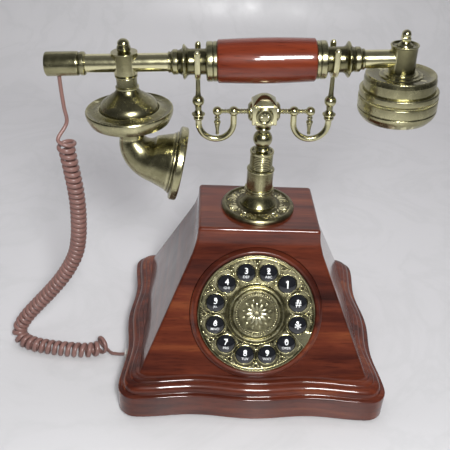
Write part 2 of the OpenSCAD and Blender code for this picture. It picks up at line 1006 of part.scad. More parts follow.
// Outline of a ferrule as distance from the grip and radius
function ferrule(collar_r, crest_r) = concat(
  [
    [0, tube_bore],
    [0, collar_r - 0.3],
    [0.4, collar_r],
    [collar_l - 0.5, collar_r],
    [collar_l, collar_r - 0.6],
    [collar_l + 0.4, neck_r],
    [collar_l + neck_l - 0.6, neck_r],
  ],
  arc(collar_l + neck_l - 0.6, crest_r, crest_r - neck_r, -90, -20, 6),
  [
    [collar_l + neck_l + 3.4, crest_r + 0.3],
    [collar_l + neck_l + 4.4, crest_r - 1],
  ],
  arc(collar_l + neck_l + 6.6, crest_r - 0.9, 2.3, 200, 250, 4),
  [
    [collar_l + neck_l + 7.2, tube_r + 1.6],
    [collar_l + neck_l + 8, tube_r + 2.2],
    [collar_l + neck_l + 10.6, tube_r + 2.2],
    [collar_l + neck_l + 11.6, tube_r + 1.2],
    [collar_l + neck_l + 12.2, tube_r + 0.6],
    [collar_l + neck_l + 13.4, tube_r + 1],
    [collar_l + neck_l + flare_l, tube_r + 0.5],
    [collar_l + neck_l + flare_l, tube_bore],
  ]
);

module mouth_ferrule() {
  color(brass)
    at_handset()
      turn_along([for (p = ferrule(mouth_collar_r, 11.2)) [grip_start - p[0], p[1]]]);
}

module ear_ferrule() {
  color(brass)
    at_handset()
      turn_along([for (p = ferrule(ear_collar_r, 11.6)) [grip_end + p[0], p[1]]]);
}

cap_r = 7.9;
gland_r = 1.8;
gland_x = cap_end + 8.1;

module end_cap() {
  color(brass)
    at_handset()
      difference() {
        turn_along([
          [cap_end, 0],
          [cap_end, cap_r - 0.8],
          [cap_end + 0.8, cap_r],
          [cap_start - 0.9, cap_r],
          [cap_start - 0.5, cap_r - 0.9],
          [cap_start, cap_r - 0.9],
          [cap_start + 0.3, cap_r - 0.5],
          [cap_start + 1, cap_r - 0.2],
          [cap_start + 3, cap_r - 0.2],
          [cap_start + 3.8, cap_r - 1],
          [cap_start + 3.8, tube_bore],
          [cap_start - 8.2, tube_bore],
          [cap_start - 8.2, cap_r - 1.5],
          [cap_end + 1.5, cap_r - 1.5],
          [cap_end + 1.5, 0],
        ]);
        translate([gland_x, 0, -2 * cap_r])
          cylinder(h = 2 * cap_r, r = gland_r, $fn = 32);
      }
}

boss_r = 7.9;
boss_low = -9.6;

// Upright boss that the tube passes through, with a flat rim on top
module mouth_boss() {
  color(brass)
    at_handset()
      difference() {
        translate([-mouth_x, 0, 0])
          rotate_extrude()
            polygon([
              [0, boss_low], [6.8, boss_low], [7.6, -9.2], [7.6, -8.4], [7, -8], [boss_r, -7],
              [boss_r, 6.4], [boss_r + 0.9, 6.7], [boss_r + 0.9, 7.5], [0, 7.6],
            ]);
        translate([-mouth_x, 0, 0])
          rotate([0, 90, 0])
            cylinder(h = 4 * boss_r, r = tube_bore, center = true);
        translate([-mouth_x, 0, -12])
          cylinder(h = 8, r = 3);
      }
}

module mouth_knob() {
  color(brass)
    at_handset()
      translate([-mouth_x, 0, 7.6])
        rotate_extrude($fn = 48)
          polygon(concat(
            [[0, 0], [3.6, 0], [4.4, 0.8], [4.7, 2], [4.5, 3.2], [3.9, 4], [3.5, 4.3], [3.9, 4.7]],
            [for (p = arc(0, 4.9, 4, 0, 90, 7)) [max(p[0], 0), p[1] * 0.9 + 0.49]]
          ));
}

bell_top = boss_low;
bell_low = -41;
skin_t = 1.3;

// Neck, cone, ridge and dished flange of the mouthpiece bell, closed underneath
module bell() {
  outer = concat(
    [[6.9, bell_top], [6.9, -18.8], [7.8, -19.3], [7.8, -20.3], [7.2, -20.8]],
    arc(24, -12, 19, 208, 254, 8),
    [
      [0.66 * bell_r, -31.8],
      [0.69 * bell_r, -31.2],
      [0.73 * bell_r, -31.9],
      [0.84 * bell_r, -32.9],
      [0.93 * bell_r, -32.4],
      [0.975 * bell_r, -31.6],
      [bell_r, -32.6],
      [bell_r - 0.4, -36],
      [bell_r - 1.6, -38.6],
      [bell_r - 3, bell_low],
    ]
  );
  inner = [
    [bell_r - 4.6, bell_low + skin_t],
    [bell_r - 2, -36],
    [bell_r - 2.2, -34.2],
    [0.72 * bell_r, -34.2],
    [0.6 * bell_r, -33.2],
    [9, -25],
    [5.6, -20.4],
    [5.6, bell_top],
  ];
  color(brass)
    at_handset()
      translate([-mouth_x, 0, 0])
        rotate_extrude($fn = 96)
          polygon(concat(outer, [[5, bell_low], [5, bell_low + skin_t]], inner));
}

horn_collar_l = 12;
horn_bend_r = 18;
horn_turn = 76;
horn_flare_l = 13;
horn_small_r = 8.6;
horn_wide_r = horn_rim_r - 5.6;
horn_wall = 1.4;
horn_bend_l = horn_bend_r * horn_turn * PI / 180;
horn_l = horn_bend_l + horn_flare_l;
horn_steps = 16;

// Place on the horn's centre line: [x, z, turn] at a distance from the collar
function horn_at(l) =
  let (
    x0 = -mouth_x,
    z0 = bell_low - horn_collar_l,
    a = min(l / horn_bend_l, 1) * horn_turn,
    extra = max(l - horn_bend_l, 0)
  )
  [
    x0 + horn_bend_r * (1 - cos(a)) + extra * sin(a),
    z0 - horn_bend_r * sin(a) - extra * cos(a),
    a,
  ];

function horn_r(l) = horn_small_r + (horn_wide_r - horn_small_r) * max(l, 0) / horn_l;

// Rings of points along the horn, each one square to the centre line
function horn_rings(from, to, less) = [
  for (i = [0:horn_steps])
    let (
      l = from + (to - from) * i / horn_steps,
      p = horn_at(l),
      r = horn_r(min(l, horn_l)) - less
    )
    for (j = [0:31])
      let (b = j * 11.25)
      [p[0] + r * cos(b) * cos(p[2]), r * sin(b), p[1] + r * cos(b) * sin(p[2])]
];

module loft(points, rings, sides) {
  side_faces = [
    for (i = [0:rings - 2], j = [0:sides - 1])
      let (a = i * sides + j, b = i * sides + (j + 1) % sides)
      for (face = [[a, b, b + sides], [a, b + sides, a + sides]])
        face
  ];
  polyhedron(
    points = points,
    faces = concat(
      side_faces,
      [[for (j = [sides - 1:-1:0]) j]],
      [[for (j = [0:sides - 1]) (rings - 1) * sides + j]]
    ),
    convexity = 6
  );
}

// Puts children at the horn's mouth, with +Z out of it
module at_horn_mouth() {
  p = horn_at(horn_l);
  translate([p[0], 0, p[1]])
    rotate([0, 180 - p[2], 0])
      children();
}

rim_l = 8;
ledge_z = 0.6;
grille_t = 1.2;
grille_r = horn_wide_r - horn_wall - seat_gap;

module horn() {
  color(brass)
    at_handset() {
      translate([-mouth_x, 0, 0])
        rotate_extrude()
          polygon([
            [5.4, bell_low],
            [9.8, bell_low],
            [9.8, bell_low - 5],
            [9.4, bell_low - 7],
            [horn_small_r + 0.5, bell_low - horn_collar_l + 0.7],
            [horn_small_r + 0.3, bell_low - horn_collar_l],
            [5.4, bell_low - horn_collar_l],
          ]);
      difference() {
        loft(horn_rings(-1, horn_l, 0), horn_steps + 1, 32);
        loft(horn_rings(-1.5, horn_l + 0.5, horn_wall), horn_steps + 1, 32);
      }
      at_horn_mouth()
        rotate_extrude($fn = 96)
          polygon([
            [grille_r + seat_gap, ledge_z],
            [horn_wide_r - horn_wall - 0.5, ledge_z],
            [horn_wide_r - horn_wall - 0.5, -1.2],
            [horn_wide_r + 0.3, -1.2],
            [horn_wide_r + 0.4, 0.2],
            [horn_wide_r + 1.4, 0.7],
            [horn_wide_r + 1.4, 1.8],
            [horn_rim_r - 1, 2.4],
            [horn_rim_r, 3.2],
            [horn_rim_r, rim_l - 1.2],
            [horn_rim_r - 1.2, rim_l],
            [horn_rim_r - 3.4, rim_l],
            [grille_r + seat_gap + 0.3, rim_l - 2],
            [grille_r + seat_gap, rim_l - 3],
          ]);
    }
}

module mouth_grille() {
  color(brass)
    at_handset()
      at_horn_mouth()
        translate([0, 0, ledge_z])
          difference() {
            cylinder(h = grille_t, r = grille_r);
            for (ring = [[0, 1], [5.5, 6], [11, 12]], i = [0:ring[1] - 1])
              rotate(360 * i / ring[1])
                translate([ring[0], 0, -1])
                  cylinder(h = 4, r = 1.2, $fn = 16);
          }
}

mic_l = 6;

module microphone() {
  color(black)
    at_handset()
      at_horn_mouth()
        translate([0, 0, ledge_z - mic_l])
          cylinder(h = mic_l, r = 11);
}

ear_boss_r = 8.8;

// Upright boss at the end of the tube, with a flared cup on top
module ear_boss() {
  color(brass)
    at_handset()
      difference() {
        translate([ear_x, 0, 0])
          rotate_extrude()
            polygon([
              [0, boss_low], [ear_boss_r + 0.9, boss_low], [ear_boss_r, -8.6], [ear_boss_r, 7.4],
              [ear_boss_r + 0.5, 8.8], [ear_boss_r + 0.6, 9.7], [ear_boss_r - 0.2, 9.7],
              [ear_boss_r - 1.4, 8.5], [0, 8.5],
            ]);
        translate([ear_x + 4.2 - 20, 0, 0])
          rotate([0, 90, 0])
            cylinder(h = 20, r = tube_bore);
        translate([ear_x, 0, -12])
          cylinder(h = 12, r = 3);
      }
}

module ear_knob() {
  color(brass)
    at_handset()
      translate([ear_x, 0, 8.5]) {
        rotate_extrude($fn = 48)
          polygon([[0, 0], [5.4, 0], [5, 1], [3.2, 2.2], [2.8, 3.2], [0, 3.2]]);
        translate([-2.8, -2.8, 3])
          cube([5.6, 5.6, 3.2]);
        translate([0, 0, 6.2])
          rotate_extrude($fn = 32)
            polygon(concat(
              [[0, 0], [2.4, 0]],
              [for (p = arc(0, 1.4, 3.1, -20, 90, 6)) [max(p[0], 0), p[1]]]
            ));
      }
}

drum_r = ear_cap_r - 2.6;
drum_low = -24.5;
cap_top = -19.8;
cap_low = -41.6;

// Shoulder and drum of the earpiece
module ear_shell() {
  color(brass)
    at_handset()
      translate([ear_x, 0, 0])
        rotate_extrude($fn = 96)
          polygon([
            [3.2, boss_low],
            [ear_boss_r + 2.4, boss_low],
            [ear_boss_r + 3.4, -10.4],
            [ear_boss_r + 5.4, -10.4],
            [ear_boss_r + 6.2, -11.2],
            [drum_r - 5, -10.8],
            [drum_r - 1.6, -9.6],
            [drum_r - 0.5, -10.2],
            [drum_r - 0.4, -11.6],
            [drum_r, -13],
            [drum_r, drum_low],
            [drum_r - 1.6, drum_low],
            [drum_r - 1.6, -12.8],
            [ear_boss_r + 5, -12.8],
            [3.2, -12],
          ]);
}

// Screwed cap with a knurled seam and a dished, perforated face
module ear_cap() {
  color(brass)
    at_handset()
      translate([ear_x, 0, 0])
        difference() {
          rotate_extrude($fn = 96)
            polygon([
              [drum_r + seat_gap, cap_top],
              [ear_cap_r - 0.9, cap_top],
              [ear_cap_r - 0.2, cap_top - 0.8],
              [ear_cap_r - 0.2, cap_top - 3.6],
              [ear_cap_r - 0.6, cap_top - 4],
              [ear_cap_r, cap_top - 4.4],
              [ear_cap_r, cap_top - 12],
              [ear_cap_r - 1.2, cap_low + 4],
              [ear_cap_r - 3.6, cap_low + 1],
              [ear_cap_r - 6, cap_low],
              [ear_cap_r - 8.4, cap_low + 0.4],
              [8, cap_low + 4],
              [0, cap_low + 4.4],
              [0, cap_low + 6.4],
              [8, cap_low + 6],
              [ear_cap_r - 8, cap_low + 2.6],
              [ear_cap_r - 4, cap_low + 4],
              [drum_r - 1.4, drum_low],
              [drum_r + seat_gap, drum_low],
            ]);
          for (ring = [[0, 1], [4.4, 6]], i = [0:ring[1] - 1])
            rotate(360 * i / ring[1])
              translate([ring[0], 0, cap_low])
                cylinder(h = 8, r = 1.3, $fn = 16);
        }
}

module receiver() {
  color(black)
    at_handset()
      translate([ear_x, 0, cap_low + 6.4]) {
        cylinder(h = 10, r = 17);
        translate([0, 0, 8])
          cylinder(h = 8, r = 9);
      }
}

// ---------- Cord ----------

lead_r = 1.4;
coil_r = 6.2;

// Straight lead from the end cap down to the coil
top_route = [
  [-138.6, 0, 234], [-138.6, 0, 228], [-138.2, 0, 219], [-137.4, 0, 208], [-136.6, 0, 197],
  [-136.4, 0, 188], [-136.4, 0, 183],
];
// Axis of the curly length, down to the table and along it
coil_route = [
  [-138.4, 0, 183], [-138.4, 0, 179], [-137.4, 0, 170], [-136, 0, 158], [-134.6, 0, 144], [-134, 0, 130],
  [-134.4, 0, 116], [-135.6, 0, 102], [-138.4, 0, 88], [-144, -0.6, 75], [-152, -1.4, 62],
  [-162, -2, 49], [-173, -2.6, 36], [-183, -4, 24], [-189, -6, 14], [-189, -9.6, 8.4],
  [-184, -14, 6.3], [-175, -18.4, 6.3], [-164, -21, 6.3], [-151, -22.8, 6.3], [-138, -24, 6.3],
  [-130, -23.6, 6.3], [-123.6, -21.4, 6.3], [-118, -16, 6.3],
];
// Straight lead from the coil to the plug
lower_route = [
  [-115.85, -18.2, 2.8], [-114, -16.4, 2.8], [-111.2, -16.6, 2.8], [-108.6, -19.2, 3.2],
  [-107, -23, 5], [-106, -27, 7.4], [-104.6, -30.6, 10], [-102.4, -32, 10.8], [-100, -32, 10.8],
];

function unit(v) = v / norm(v);

// Direction of a route at one of its points
function heading(route, i) =
  unit(route[min(i + 1, len(route) - 1)] - route[max(i - 1, 0)]);

// Tube of one radius along a route: a ring of points square to it at each of its points
module route_tube(route, r, sides) {
  rings = [
    for (i = [0:len(route) - 1])
      let (
        d = heading(route, i),
        u = unit(cross(d, [0, 1, 0])),
        v = cross(d, u)
      )
      for (j = [0:sides - 1])
        let (a = 360 * j / sides)
        route[i] + r * (u * cos(a) + v * sin(a))
  ];
  loft(rings, len(route), sides);
}

module cord_top() {
  color(mauve)
    route_tube(top_route, lead_r, 8);
}

module cord_coil() {
  color(mauve)
    route_tube(coil_route, coil_r, 12);
}

module cord_lower() {
  color(mauve)
    route_tube(lower_route, lead_r, 8);
}

plug_l = 9;

// Modular plug on the end of the lead, seated in the handset's jack
module cord_plug() {
  lip = plinth_w / 2 - wave_depth;
  reach = -lower_route[len(lower_route) - 1][0] - lip;
  color("gainsboro")
    at_hand_jack() {
      translate([-plug_l, -socket_w / 2 + seat_gap, -socket_h / 2 + seat_gap])
        cube([plug_l + 1, socket_w - 2 * seat_gap, socket_h - 2 * seat_gap]);
      translate([0, -socket_w / 2 + 1.2, -socket_h / 2 + 1])
        cube([reach, socket_w - 2.4, socket_h - 2]);
      translate([-5, -1.4, socket_h / 2 - 1])
        cube([5 + 2, 2.8, 1.7]);
    }
}

wood_body();
plinth();
bottom_plate();
felt_pads();
bottom_screws();
main_board();
ringer();
modular_jacks();
dial_ring();
dial_housing();
dial_plate();
hub_ring();
medallion();
finger_stop();
keypad_membrane();
keypad_board();
key(0);  // key_1
key(1);  // key_2
key(2);  // key_3
key(3);  // key_4
key(4);  // key_5
key(5);  // key_6
key(6);  // key_7
key(7);  // key_8
key(8);  // key_9
key(9);  // key_0
key(10);  // key_star
key(11);  // key_hash
column_flange();
column_skirt();
column_tube();
column_nut();
hook_switch();
plunger();
baluster();
head_block();
arm_left();
arm_right();
fork_left();
fork_right();
core_tube();
grip();
mouth_ferrule();
ear_ferrule();
end_cap();
mouth_boss();
mouth_knob();
bell();
horn();
mouth_grille();
microphone();
ear_boss();
ear_knob();
ear_shell();
ear_cap();
receiver();
cord_top();
cord_coil();
cord_lower();
cord_plug();
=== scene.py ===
"""Looks of the French-style cradle telephone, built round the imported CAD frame. Sizes here are in mm."""
import json
import math

import bmesh
import bpy
from mathutils import Matrix, Vector

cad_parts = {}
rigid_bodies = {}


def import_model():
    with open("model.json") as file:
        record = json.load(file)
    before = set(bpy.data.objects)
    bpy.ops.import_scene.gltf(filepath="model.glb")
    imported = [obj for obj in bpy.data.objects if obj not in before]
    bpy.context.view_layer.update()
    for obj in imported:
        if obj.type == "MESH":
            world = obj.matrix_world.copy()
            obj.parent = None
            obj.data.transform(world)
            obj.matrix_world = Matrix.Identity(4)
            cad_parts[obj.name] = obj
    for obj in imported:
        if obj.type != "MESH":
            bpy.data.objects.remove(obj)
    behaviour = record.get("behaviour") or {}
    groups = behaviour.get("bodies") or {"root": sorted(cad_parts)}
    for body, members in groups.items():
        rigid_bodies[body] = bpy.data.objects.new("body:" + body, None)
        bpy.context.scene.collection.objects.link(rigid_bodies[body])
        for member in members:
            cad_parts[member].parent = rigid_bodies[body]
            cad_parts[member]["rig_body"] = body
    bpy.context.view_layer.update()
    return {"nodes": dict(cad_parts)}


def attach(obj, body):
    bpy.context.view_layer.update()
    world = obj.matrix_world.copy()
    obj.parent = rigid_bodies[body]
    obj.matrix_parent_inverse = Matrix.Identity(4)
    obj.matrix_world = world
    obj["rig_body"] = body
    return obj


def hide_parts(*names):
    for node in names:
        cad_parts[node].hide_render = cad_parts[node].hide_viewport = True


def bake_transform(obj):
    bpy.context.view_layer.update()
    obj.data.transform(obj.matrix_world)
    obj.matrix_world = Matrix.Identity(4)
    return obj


MM = 0.001

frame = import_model()

# ---------------------------------------------------------------- sizes shared with the CAD model

PLINTH_W, PLINTH_D, PLINTH_R, WAVE = 200.0, 177.0, 14.0, 3.2
FOOT_Z, FOOT_INSET = 31.5, 15.5
FOOT_W, FOOT_D = PLINTH_W - 2 * FOOT_INSET, PLINTH_D - 2 * FOOT_INSET
TOP_W, TOP_D, BODY_H, SLOPE_TOP, SWEEP_R = 88.0, 64.0, 134.0, 121.8, 53.0
DIAL_R, DIAL_ELEV, DIAL_RISE, DIAL_PROUD = 42.8, 28.3, 48.5, 4.6
RING_IN, RING_OUT = DIAL_R + 0.3, DIAL_R + 5.5
KEY_CIRCLE, KEY_R, HUB_R = 31.0, 6.3, 20.3
COLUMN_TOP, ARM_Z = 181.0, 210.5
HAND_Z, HAND_LEAN, CRADLE_LEAN = 246.3, 3.1, 2.0
MOUTH_X, EAR_X = 95.0, 88.0
JACK_Z, HAND_JACK_Y, LINE_JACK_X = 10.8, -32.0, 42.0

LEAN = math.atan2((FOOT_D - TOP_D) / 2, SLOPE_TOP - FOOT_Z)
DIAL_Y = -FOOT_D / 2 + DIAL_RISE * math.sin(LEAN) - DIAL_PROUD * math.cos(LEAN)
DIAL_Z = FOOT_Z + DIAL_RISE * math.cos(LEAN) + DIAL_PROUD * math.sin(LEAN)


def shift(x, y, z):
    return Matrix.Translation((x, y, z))


def turn(degrees, axis):
    return Matrix.Rotation(math.radians(degrees), 4, axis)


WORLD = Matrix.Identity(4)
DIAL = shift(0, DIAL_Y, DIAL_Z) @ turn(90 - DIAL_ELEV, "X")
CRADLE = shift(0, 0, COLUMN_TOP) @ turn(-CRADLE_LEAN, "Y") @ shift(0, 0, -COLUMN_TOP)
HAND = shift(0, 0, HAND_Z) @ turn(-HAND_LEAN, "Y")
ALONG = turn(90, "Y")  # lathe axis +Z laid along +X

# ---------------------------------------------------------------- camera

camera_data = bpy.data.cameras.new("camera")
camera_data.sensor_width = 36
camera_data.lens = 52.86
camera = bpy.data.objects.new("camera", camera_data)
bpy.context.scene.collection.objects.link(camera)
pitch, roll, yaw = math.radians(33.04), math.radians(-3.05), math.radians(2.63)
forward = Vector((math.sin(yaw) * math.cos(pitch), math.cos(yaw) * math.cos(pitch), -math.sin(pitch)))
level = Vector((math.cos(yaw), -math.sin(yaw), 0))
down = forward.cross(level)
right = math.cos(roll) * level + math.sin(roll) * down
low = -math.sin(roll) * level + math.cos(roll) * down
basis = Matrix((right, -low, -forward)).transposed().to_4x4()
camera.matrix_world = Matrix.Translation((-0.0430, -0.4222, 0.3913)) @ basis
bpy.context.scene.camera = camera

# ---------------------------------------------------------------- materials


class Look:
    """A node material under construction."""

    def __init__(self, name):
        self.mat = bpy.data.materials.new(name)
        self.mat.use_nodes = True
        self.tree = self.mat.node_tree
        self.tree.nodes.clear()
        self.out = self.node("ShaderNodeOutputMaterial")
        self.bsdf = self.node("ShaderNodeBsdfPrincipled")
        self.link(self.bsdf.outputs[0], self.out.inputs[0])
        self.coord = self.node("ShaderNodeTexCoord").outputs["Object"]

    def node(self, kind, **props):
        n = self.tree.nodes.new(kind)
        for key, value in props.items():
            setattr(n, key, value)
        return n

    def link(self, a, b):
        self.tree.links.new(a, b)

    def set(self, **values):
        for key, value in values.items():
            self.bsdf.inputs[key.replace("_", " ")].default_value = value
        return self

    def stretch(self, scale, vector=None):
        m = self.node("ShaderNodeMapping")
        m.inputs["Scale"].default_value = scale
        self.link(vector or self.coord, m.inputs["Vector"])
        return m.outputs[0]

    def noise(self, scale, detail=4.0, rough=0.55, vector=None, distortion=0.0):
        n = self.node("ShaderNodeTexNoise")
        n.inputs["Scale"].default_value = scale
        n.inputs["Detail"].default_value = detail
        n.inputs["Roughness"].default_value = rough
        n.inputs["Distortion"].default_value = distortion
        self.link(vector or self.coord, n.inputs["Vector"])
        return n.outputs["Fac"]

    def ramp(self, fac, stops):
        r = self.node("ShaderNodeValToRGB")
        e = r.color_ramp.elements
        while len(e) < len(stops):
            e.new(0.5)
        for item, (at, colour) in zip(e, stops):
            item.position = at
            item.color = (*colour, 1) if hasattr(colour, "__len__") else (colour, colour, colour, 1)
        self.link(fac, r.inputs[0])
        return r.outputs[0]

    def feed(self, socket, value):
        if isinstance(value, (int, float)):
            socket.default_value = value
        elif hasattr(value, "__len__"):
            socket.default_value = (*value, 1)
        elif value is not None:
            self.link(value, socket)

    def math(self, op, a, b=None):
        n = self.node("ShaderNodeMath", operation=op)
        self.feed(n.inputs[0], a)
        self.feed(n.inputs[1], b)
        return n.outputs[0]

    def mix(self, fac, a, b, blend="MIX"):
        n = self.node("ShaderNodeMix", data_type="RGBA", blend_type=blend)
        for at, value in ((0, fac), (6, a), (7, b)):
            self.feed(n.inputs[at], value)
        return n.outputs[2]

    def bump(self, height, strength, distance, previous=None):
        n = self.node("ShaderNodeBump")
        n.inputs["Strength"].default_value = strength
        n.inputs["Distance"].default_value = distance
        self.link(height, n.inputs["Height"])
        if previous is not None:
            self.link(previous, n.inputs["Normal"])
        return n.outputs[0]

    def to(self, **sockets):
        for key, value in sockets.items():
            self.link(value, self.bsdf.inputs[key.replace("_", " ")])
        return self


def wood(name, stops, along, gloss=0.07):
    """Stained wood under lacquer, its grain running along one axis."""
    look = Look(name)
    scale = [1.0, 1.0, 1.0]
    scale["XYZ".index(along)] = 0.09
    grain = look.stretch(scale)
    figure = look.noise(26, 5, 0.6, grain, 0.6)
    bands = look.noise(120, 6, 0.62, grain, 0.25)
    pores = look.noise(900, 3, 0.5, look.stretch([s if s < 1 else 1.0 for s in scale]))
    mixed = look.math("ADD", look.math("MULTIPLY", figure, 0.55), look.math("MULTIPLY", bands, 0.45))
    colour = look.ramp(mixed, stops)
    pore_mask = look.ramp(pores, [(0.30, 0.55), (0.44, 1.0)])
    colour = look.mix(0.75, colour, pore_mask, "MULTIPLY")
    smudge = look.noise(38, 3, 0.5)
    look.to(Base_Color=colour, Roughness=look.ramp(smudge, [(0.3, 0.32), (0.75, 0.46)]))
    look.to(Coat_Normal=look.bump(look.noise(60, 2), 0.03, 0.0005))
    look.to(Normal=look.bump(pores, 0.12, 0.0002))
    look.set(Coat_Weight=0.85, Coat_Roughness=gloss, Coat_IOR=1.48, Specular_IOR_Level=0.12)
    return look.mat


MAHOGANY = [(0.30, (0.010, 0.0025, 0.002)), (0.44, (0.050, 0.0095, 0.005)), (0.55, (0.112, 0.023, 0.010)),
    (0.70, (0.235, 0.066, 0.022))]
CHERRY = [(0.28, (0.035, 0.005, 0.003)), (0.43, (0.092, 0.013, 0.005)), (0.56, (0.165, 0.028, 0.009)),
    (0.74, (0.29, 0.066, 0.019))]
wood_x = wood("mahogany_x", MAHOGANY, "X")
wood_y = wood("mahogany_y", MAHOGANY, "Y")
wood_grip = wood("cherry_grip", CHERRY, "X", 0.05)


def brass(name, dark, mid, light, rough=(0.17, 0.28), grain=0.06, patina=0.30, streak=None):
    """Antiqued brass: dark where it is hollow or dulled, bright where it is rubbed."""
    look = Look(name)
    edges = look.ramp(look.node("ShaderNodeNewGeometry").outputs["Pointiness"], [(0.44, 0.0), (0.50, 0.52), (0.56, 1.0)])
    blotch = look.noise(170, 6, 0.62)
    fine = look.noise(1300, 3, 0.6)
    cloud = look.math("ADD", look.math("MULTIPLY", blotch, 0.75), look.math("MULTIPLY", fine, 0.25))
    tone = look.math("ADD", look.math("MULTIPLY", edges, 1 - patina), look.math("MULTIPLY", cloud, patina))
    look.to(Base_Color=look.ramp(tone, [(0.25, dark), (0.50, mid), (0.78, light)]))
    look.to(Roughness=look.ramp(cloud, [(0.30, rough[0]), (0.72, rough[1])]))
    streaks = look.noise(2600, 2, 0.5, look.stretch(streak)) if streak else fine
    look.to(Normal=look.bump(streaks, grain, 0.00012, look.bump(blotch, 0.05, 0.0006)))
    look.set(Metallic=1.0)
    return look.mat


DARK, MID, LIGHT = (0.034, 0.031, 0.016), (0.235, 0.220, 0.118), (0.77, 0.73, 0.45)
brass_main = brass("antique_brass", DARK, MID, LIGHT)
brass_streaked = brass("antique_brass_brushed", DARK, MID, LIGHT, (0.20, 0.31), 0.12, 0.30, (1.0, 1.0, 0.06))
brass_cast = brass("antique_brass_cast", (0.022, 0.020, 0.010), (0.18, 0.163, 0.080), (0.74, 0.69, 0.42), (0.17, 0.30), 0.12,
    0.30)
brass_recess = brass("antique_brass_recess", (0.022, 0.020, 0.011), (0.13, 0.118, 0.066), (0.52, 0.48, 0.30), (0.28, 0.42),
    0.3, 0.45)
brass_pale = brass("pale_brass", (0.06, 0.055, 0.030), (0.25, 0.23, 0.13), (0.62, 0.59, 0.39), (0.22, 0.34), 0.12, 0.40)


def plastic(name, colour, rough=0.15, grain=0.02, scale=900.0, metal=0.0, coat=0.0, spread=0.25):
    look = Look(name)
    n = look.noise(scale, 3, 0.5)
    cloud = look.noise(90, 3, 0.5)
    dark = tuple(c * (1 - spread) for c in colour)
    look.to(Base_Color=look.mix(cloud, dark, colour))
    look.to(Roughness=look.ramp(cloud, [(0.3, max(rough - 0.04, 0.02)), (0.7, rough + 0.06)]))
    look.to(Normal=look.bump(n, grain, 0.0002))
    look.set(Metallic=metal, Coat_Weight=coat, Coat_Roughness=0.05)
    return look.mat


key_black = plastic("key_black", (0.012, 0.013, 0.016), 0.10, 0.02, coat=0.6)
print_white = plastic("print_white", (0.85, 0.86, 0.86), 0.4, 0.03, spread=0.06)
moulded = plastic("moulded_black", (0.03, 0.03, 0.033), 0.45, 0.12)
steel = plastic("zinc_plate", (0.55, 0.56, 0.58), 0.32, 0.06, 700, metal=1.0)
laminate = plastic("laminate", (0.02, 0.20, 0.09), 0.30, 0.05)
silicone = plastic("silicone", (0.18, 0.18, 0.19), 0.6, 0.05)
vinyl = plastic("cord_vinyl", (0.27, 0.145, 0.125), 0.32, 0.05, 500, spread=0.35)
clear = plastic("clear_plug", (0.62, 0.60, 0.56), 0.12, 0.01, spread=0.06)


def felt_look():
    look = Look("felt")
    fibre = look.noise(2600, 6, 0.8)
    look.to(Base_Color=look.ramp(fibre, [(0.3, (0.010, 0.016, 0.013)), (0.7, (0.045, 0.065, 0.052))]))
    look.to(Normal=look.bump(fibre, 0.8, 0.0005))
    look.set(Roughness=0.95, Sheen_Weight=0.5, Sheen_Roughness=0.5)
    return look.mat


felt = felt_look()

# ---------------------------------------------------------------- mesh helpers


def in_scene(name, data):
    obj = bpy.data.objects.new(name, data)
    bpy.context.scene.collection.objects.link(obj)
    return obj


def face_outward(mesh):
    bm = bmesh.new()
    bm.from_mesh(mesh)
    bmesh.ops.recalc_face_normals(bm, faces=bm.faces)
    bm.to_mesh(mesh)
    bm.free()


def shade_smooth(mesh, sharp=38.0):
    """Smooth shading, except at edges sharper than an angle in degrees."""
    mesh.polygons.foreach_set("use_smooth", [True] * len(mesh.polygons))
    mesh.set_sharp_from_angle(angle=math.radians(sharp))


def finish_mesh(name, verts, faces, mats, body, slot, place=WORLD, sharp=38.0):
    """Makes a smooth-shaded piece from points in mm, and lets it ride on a body."""
    mesh = bpy.data.meshes.new(name)
    mesh.from_pydata([(place @ Vector(v)) * MM for v in verts], [], faces)
    mats = mats if isinstance(mats, (list, tuple)) else [mats]
    for m in mats:
        mesh.materials.append(m)
    face_outward(mesh)
    shade_smooth(mesh, sharp)
    mesh.update()
    obj = in_scene(name, mesh)
    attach(obj, body)
    return obj


def filleted(points, radius, closed):
    """Rounds the corners of an outline with short three-piece curves."""
    out = []
    n = len(points)
    for i, p in enumerate(points):
        p = Vector(p[:2])
        if not closed and i in (0, n - 1):
            out.append(tuple(p))
            continue
        a, b = Vector(points[i - 1][:2]), Vector(points[(i + 1) % n][:2])
        u, v = a - p, b - p
        if u.length < 1e-6 or v.length < 1e-6:
            continue
        bend = math.pi - u.angle(v)
        if bend < math.radians(14):
            out.append(tuple(p))
            continue
        d = min(radius * math.tan(bend / 2), 0.42 * u.length, 0.42 * v.length)
        s, e = p + u.normalized() * d, p + v.normalized() * d
        steps = 4 if bend > math.radians(60) else 3
        for k in range(steps + 1):
            t = k / steps
            out.append(tuple((1 - t) ** 2 * s + 2 * t * (1 - t) * p + t * t * e))
    return out


def lathe_data(profile, sides=96, fillet=0.25, closed=False):
    """Points and faces of an outline of (r, z) turned about Z."""
    pts = filleted(profile, fillet, closed)
    verts, rows = [], []
    for r, z in pts:
        if r < 1e-5:
            rows.append([len(verts)])
            verts.append((0, 0, z))
        else:
            rows.append(list(range(len(verts), len(verts) + sides)))
            verts += [(r * math.cos(2 * math.pi * j / sides), r * math.sin(2 * math.pi * j / sides), z) for j in range(sides)]
    faces = []
    pairs = list(zip(rows, rows[1:])) + ([(rows[-1], rows[0])] if closed else [])
    for a, b in pairs:
        for j in range(sides):
            k = (j + 1) % sides
            if len(a) == 1 and len(b) == 1:
                continue
            if len(a) == 1:
                faces.append((a[0], b[j], b[k]))
            elif len(b) == 1:
                faces.append((a[j], b[0], a[k]))
            else:
                faces.append((a[j], b[j], b[k], a[k]))
    return verts, faces


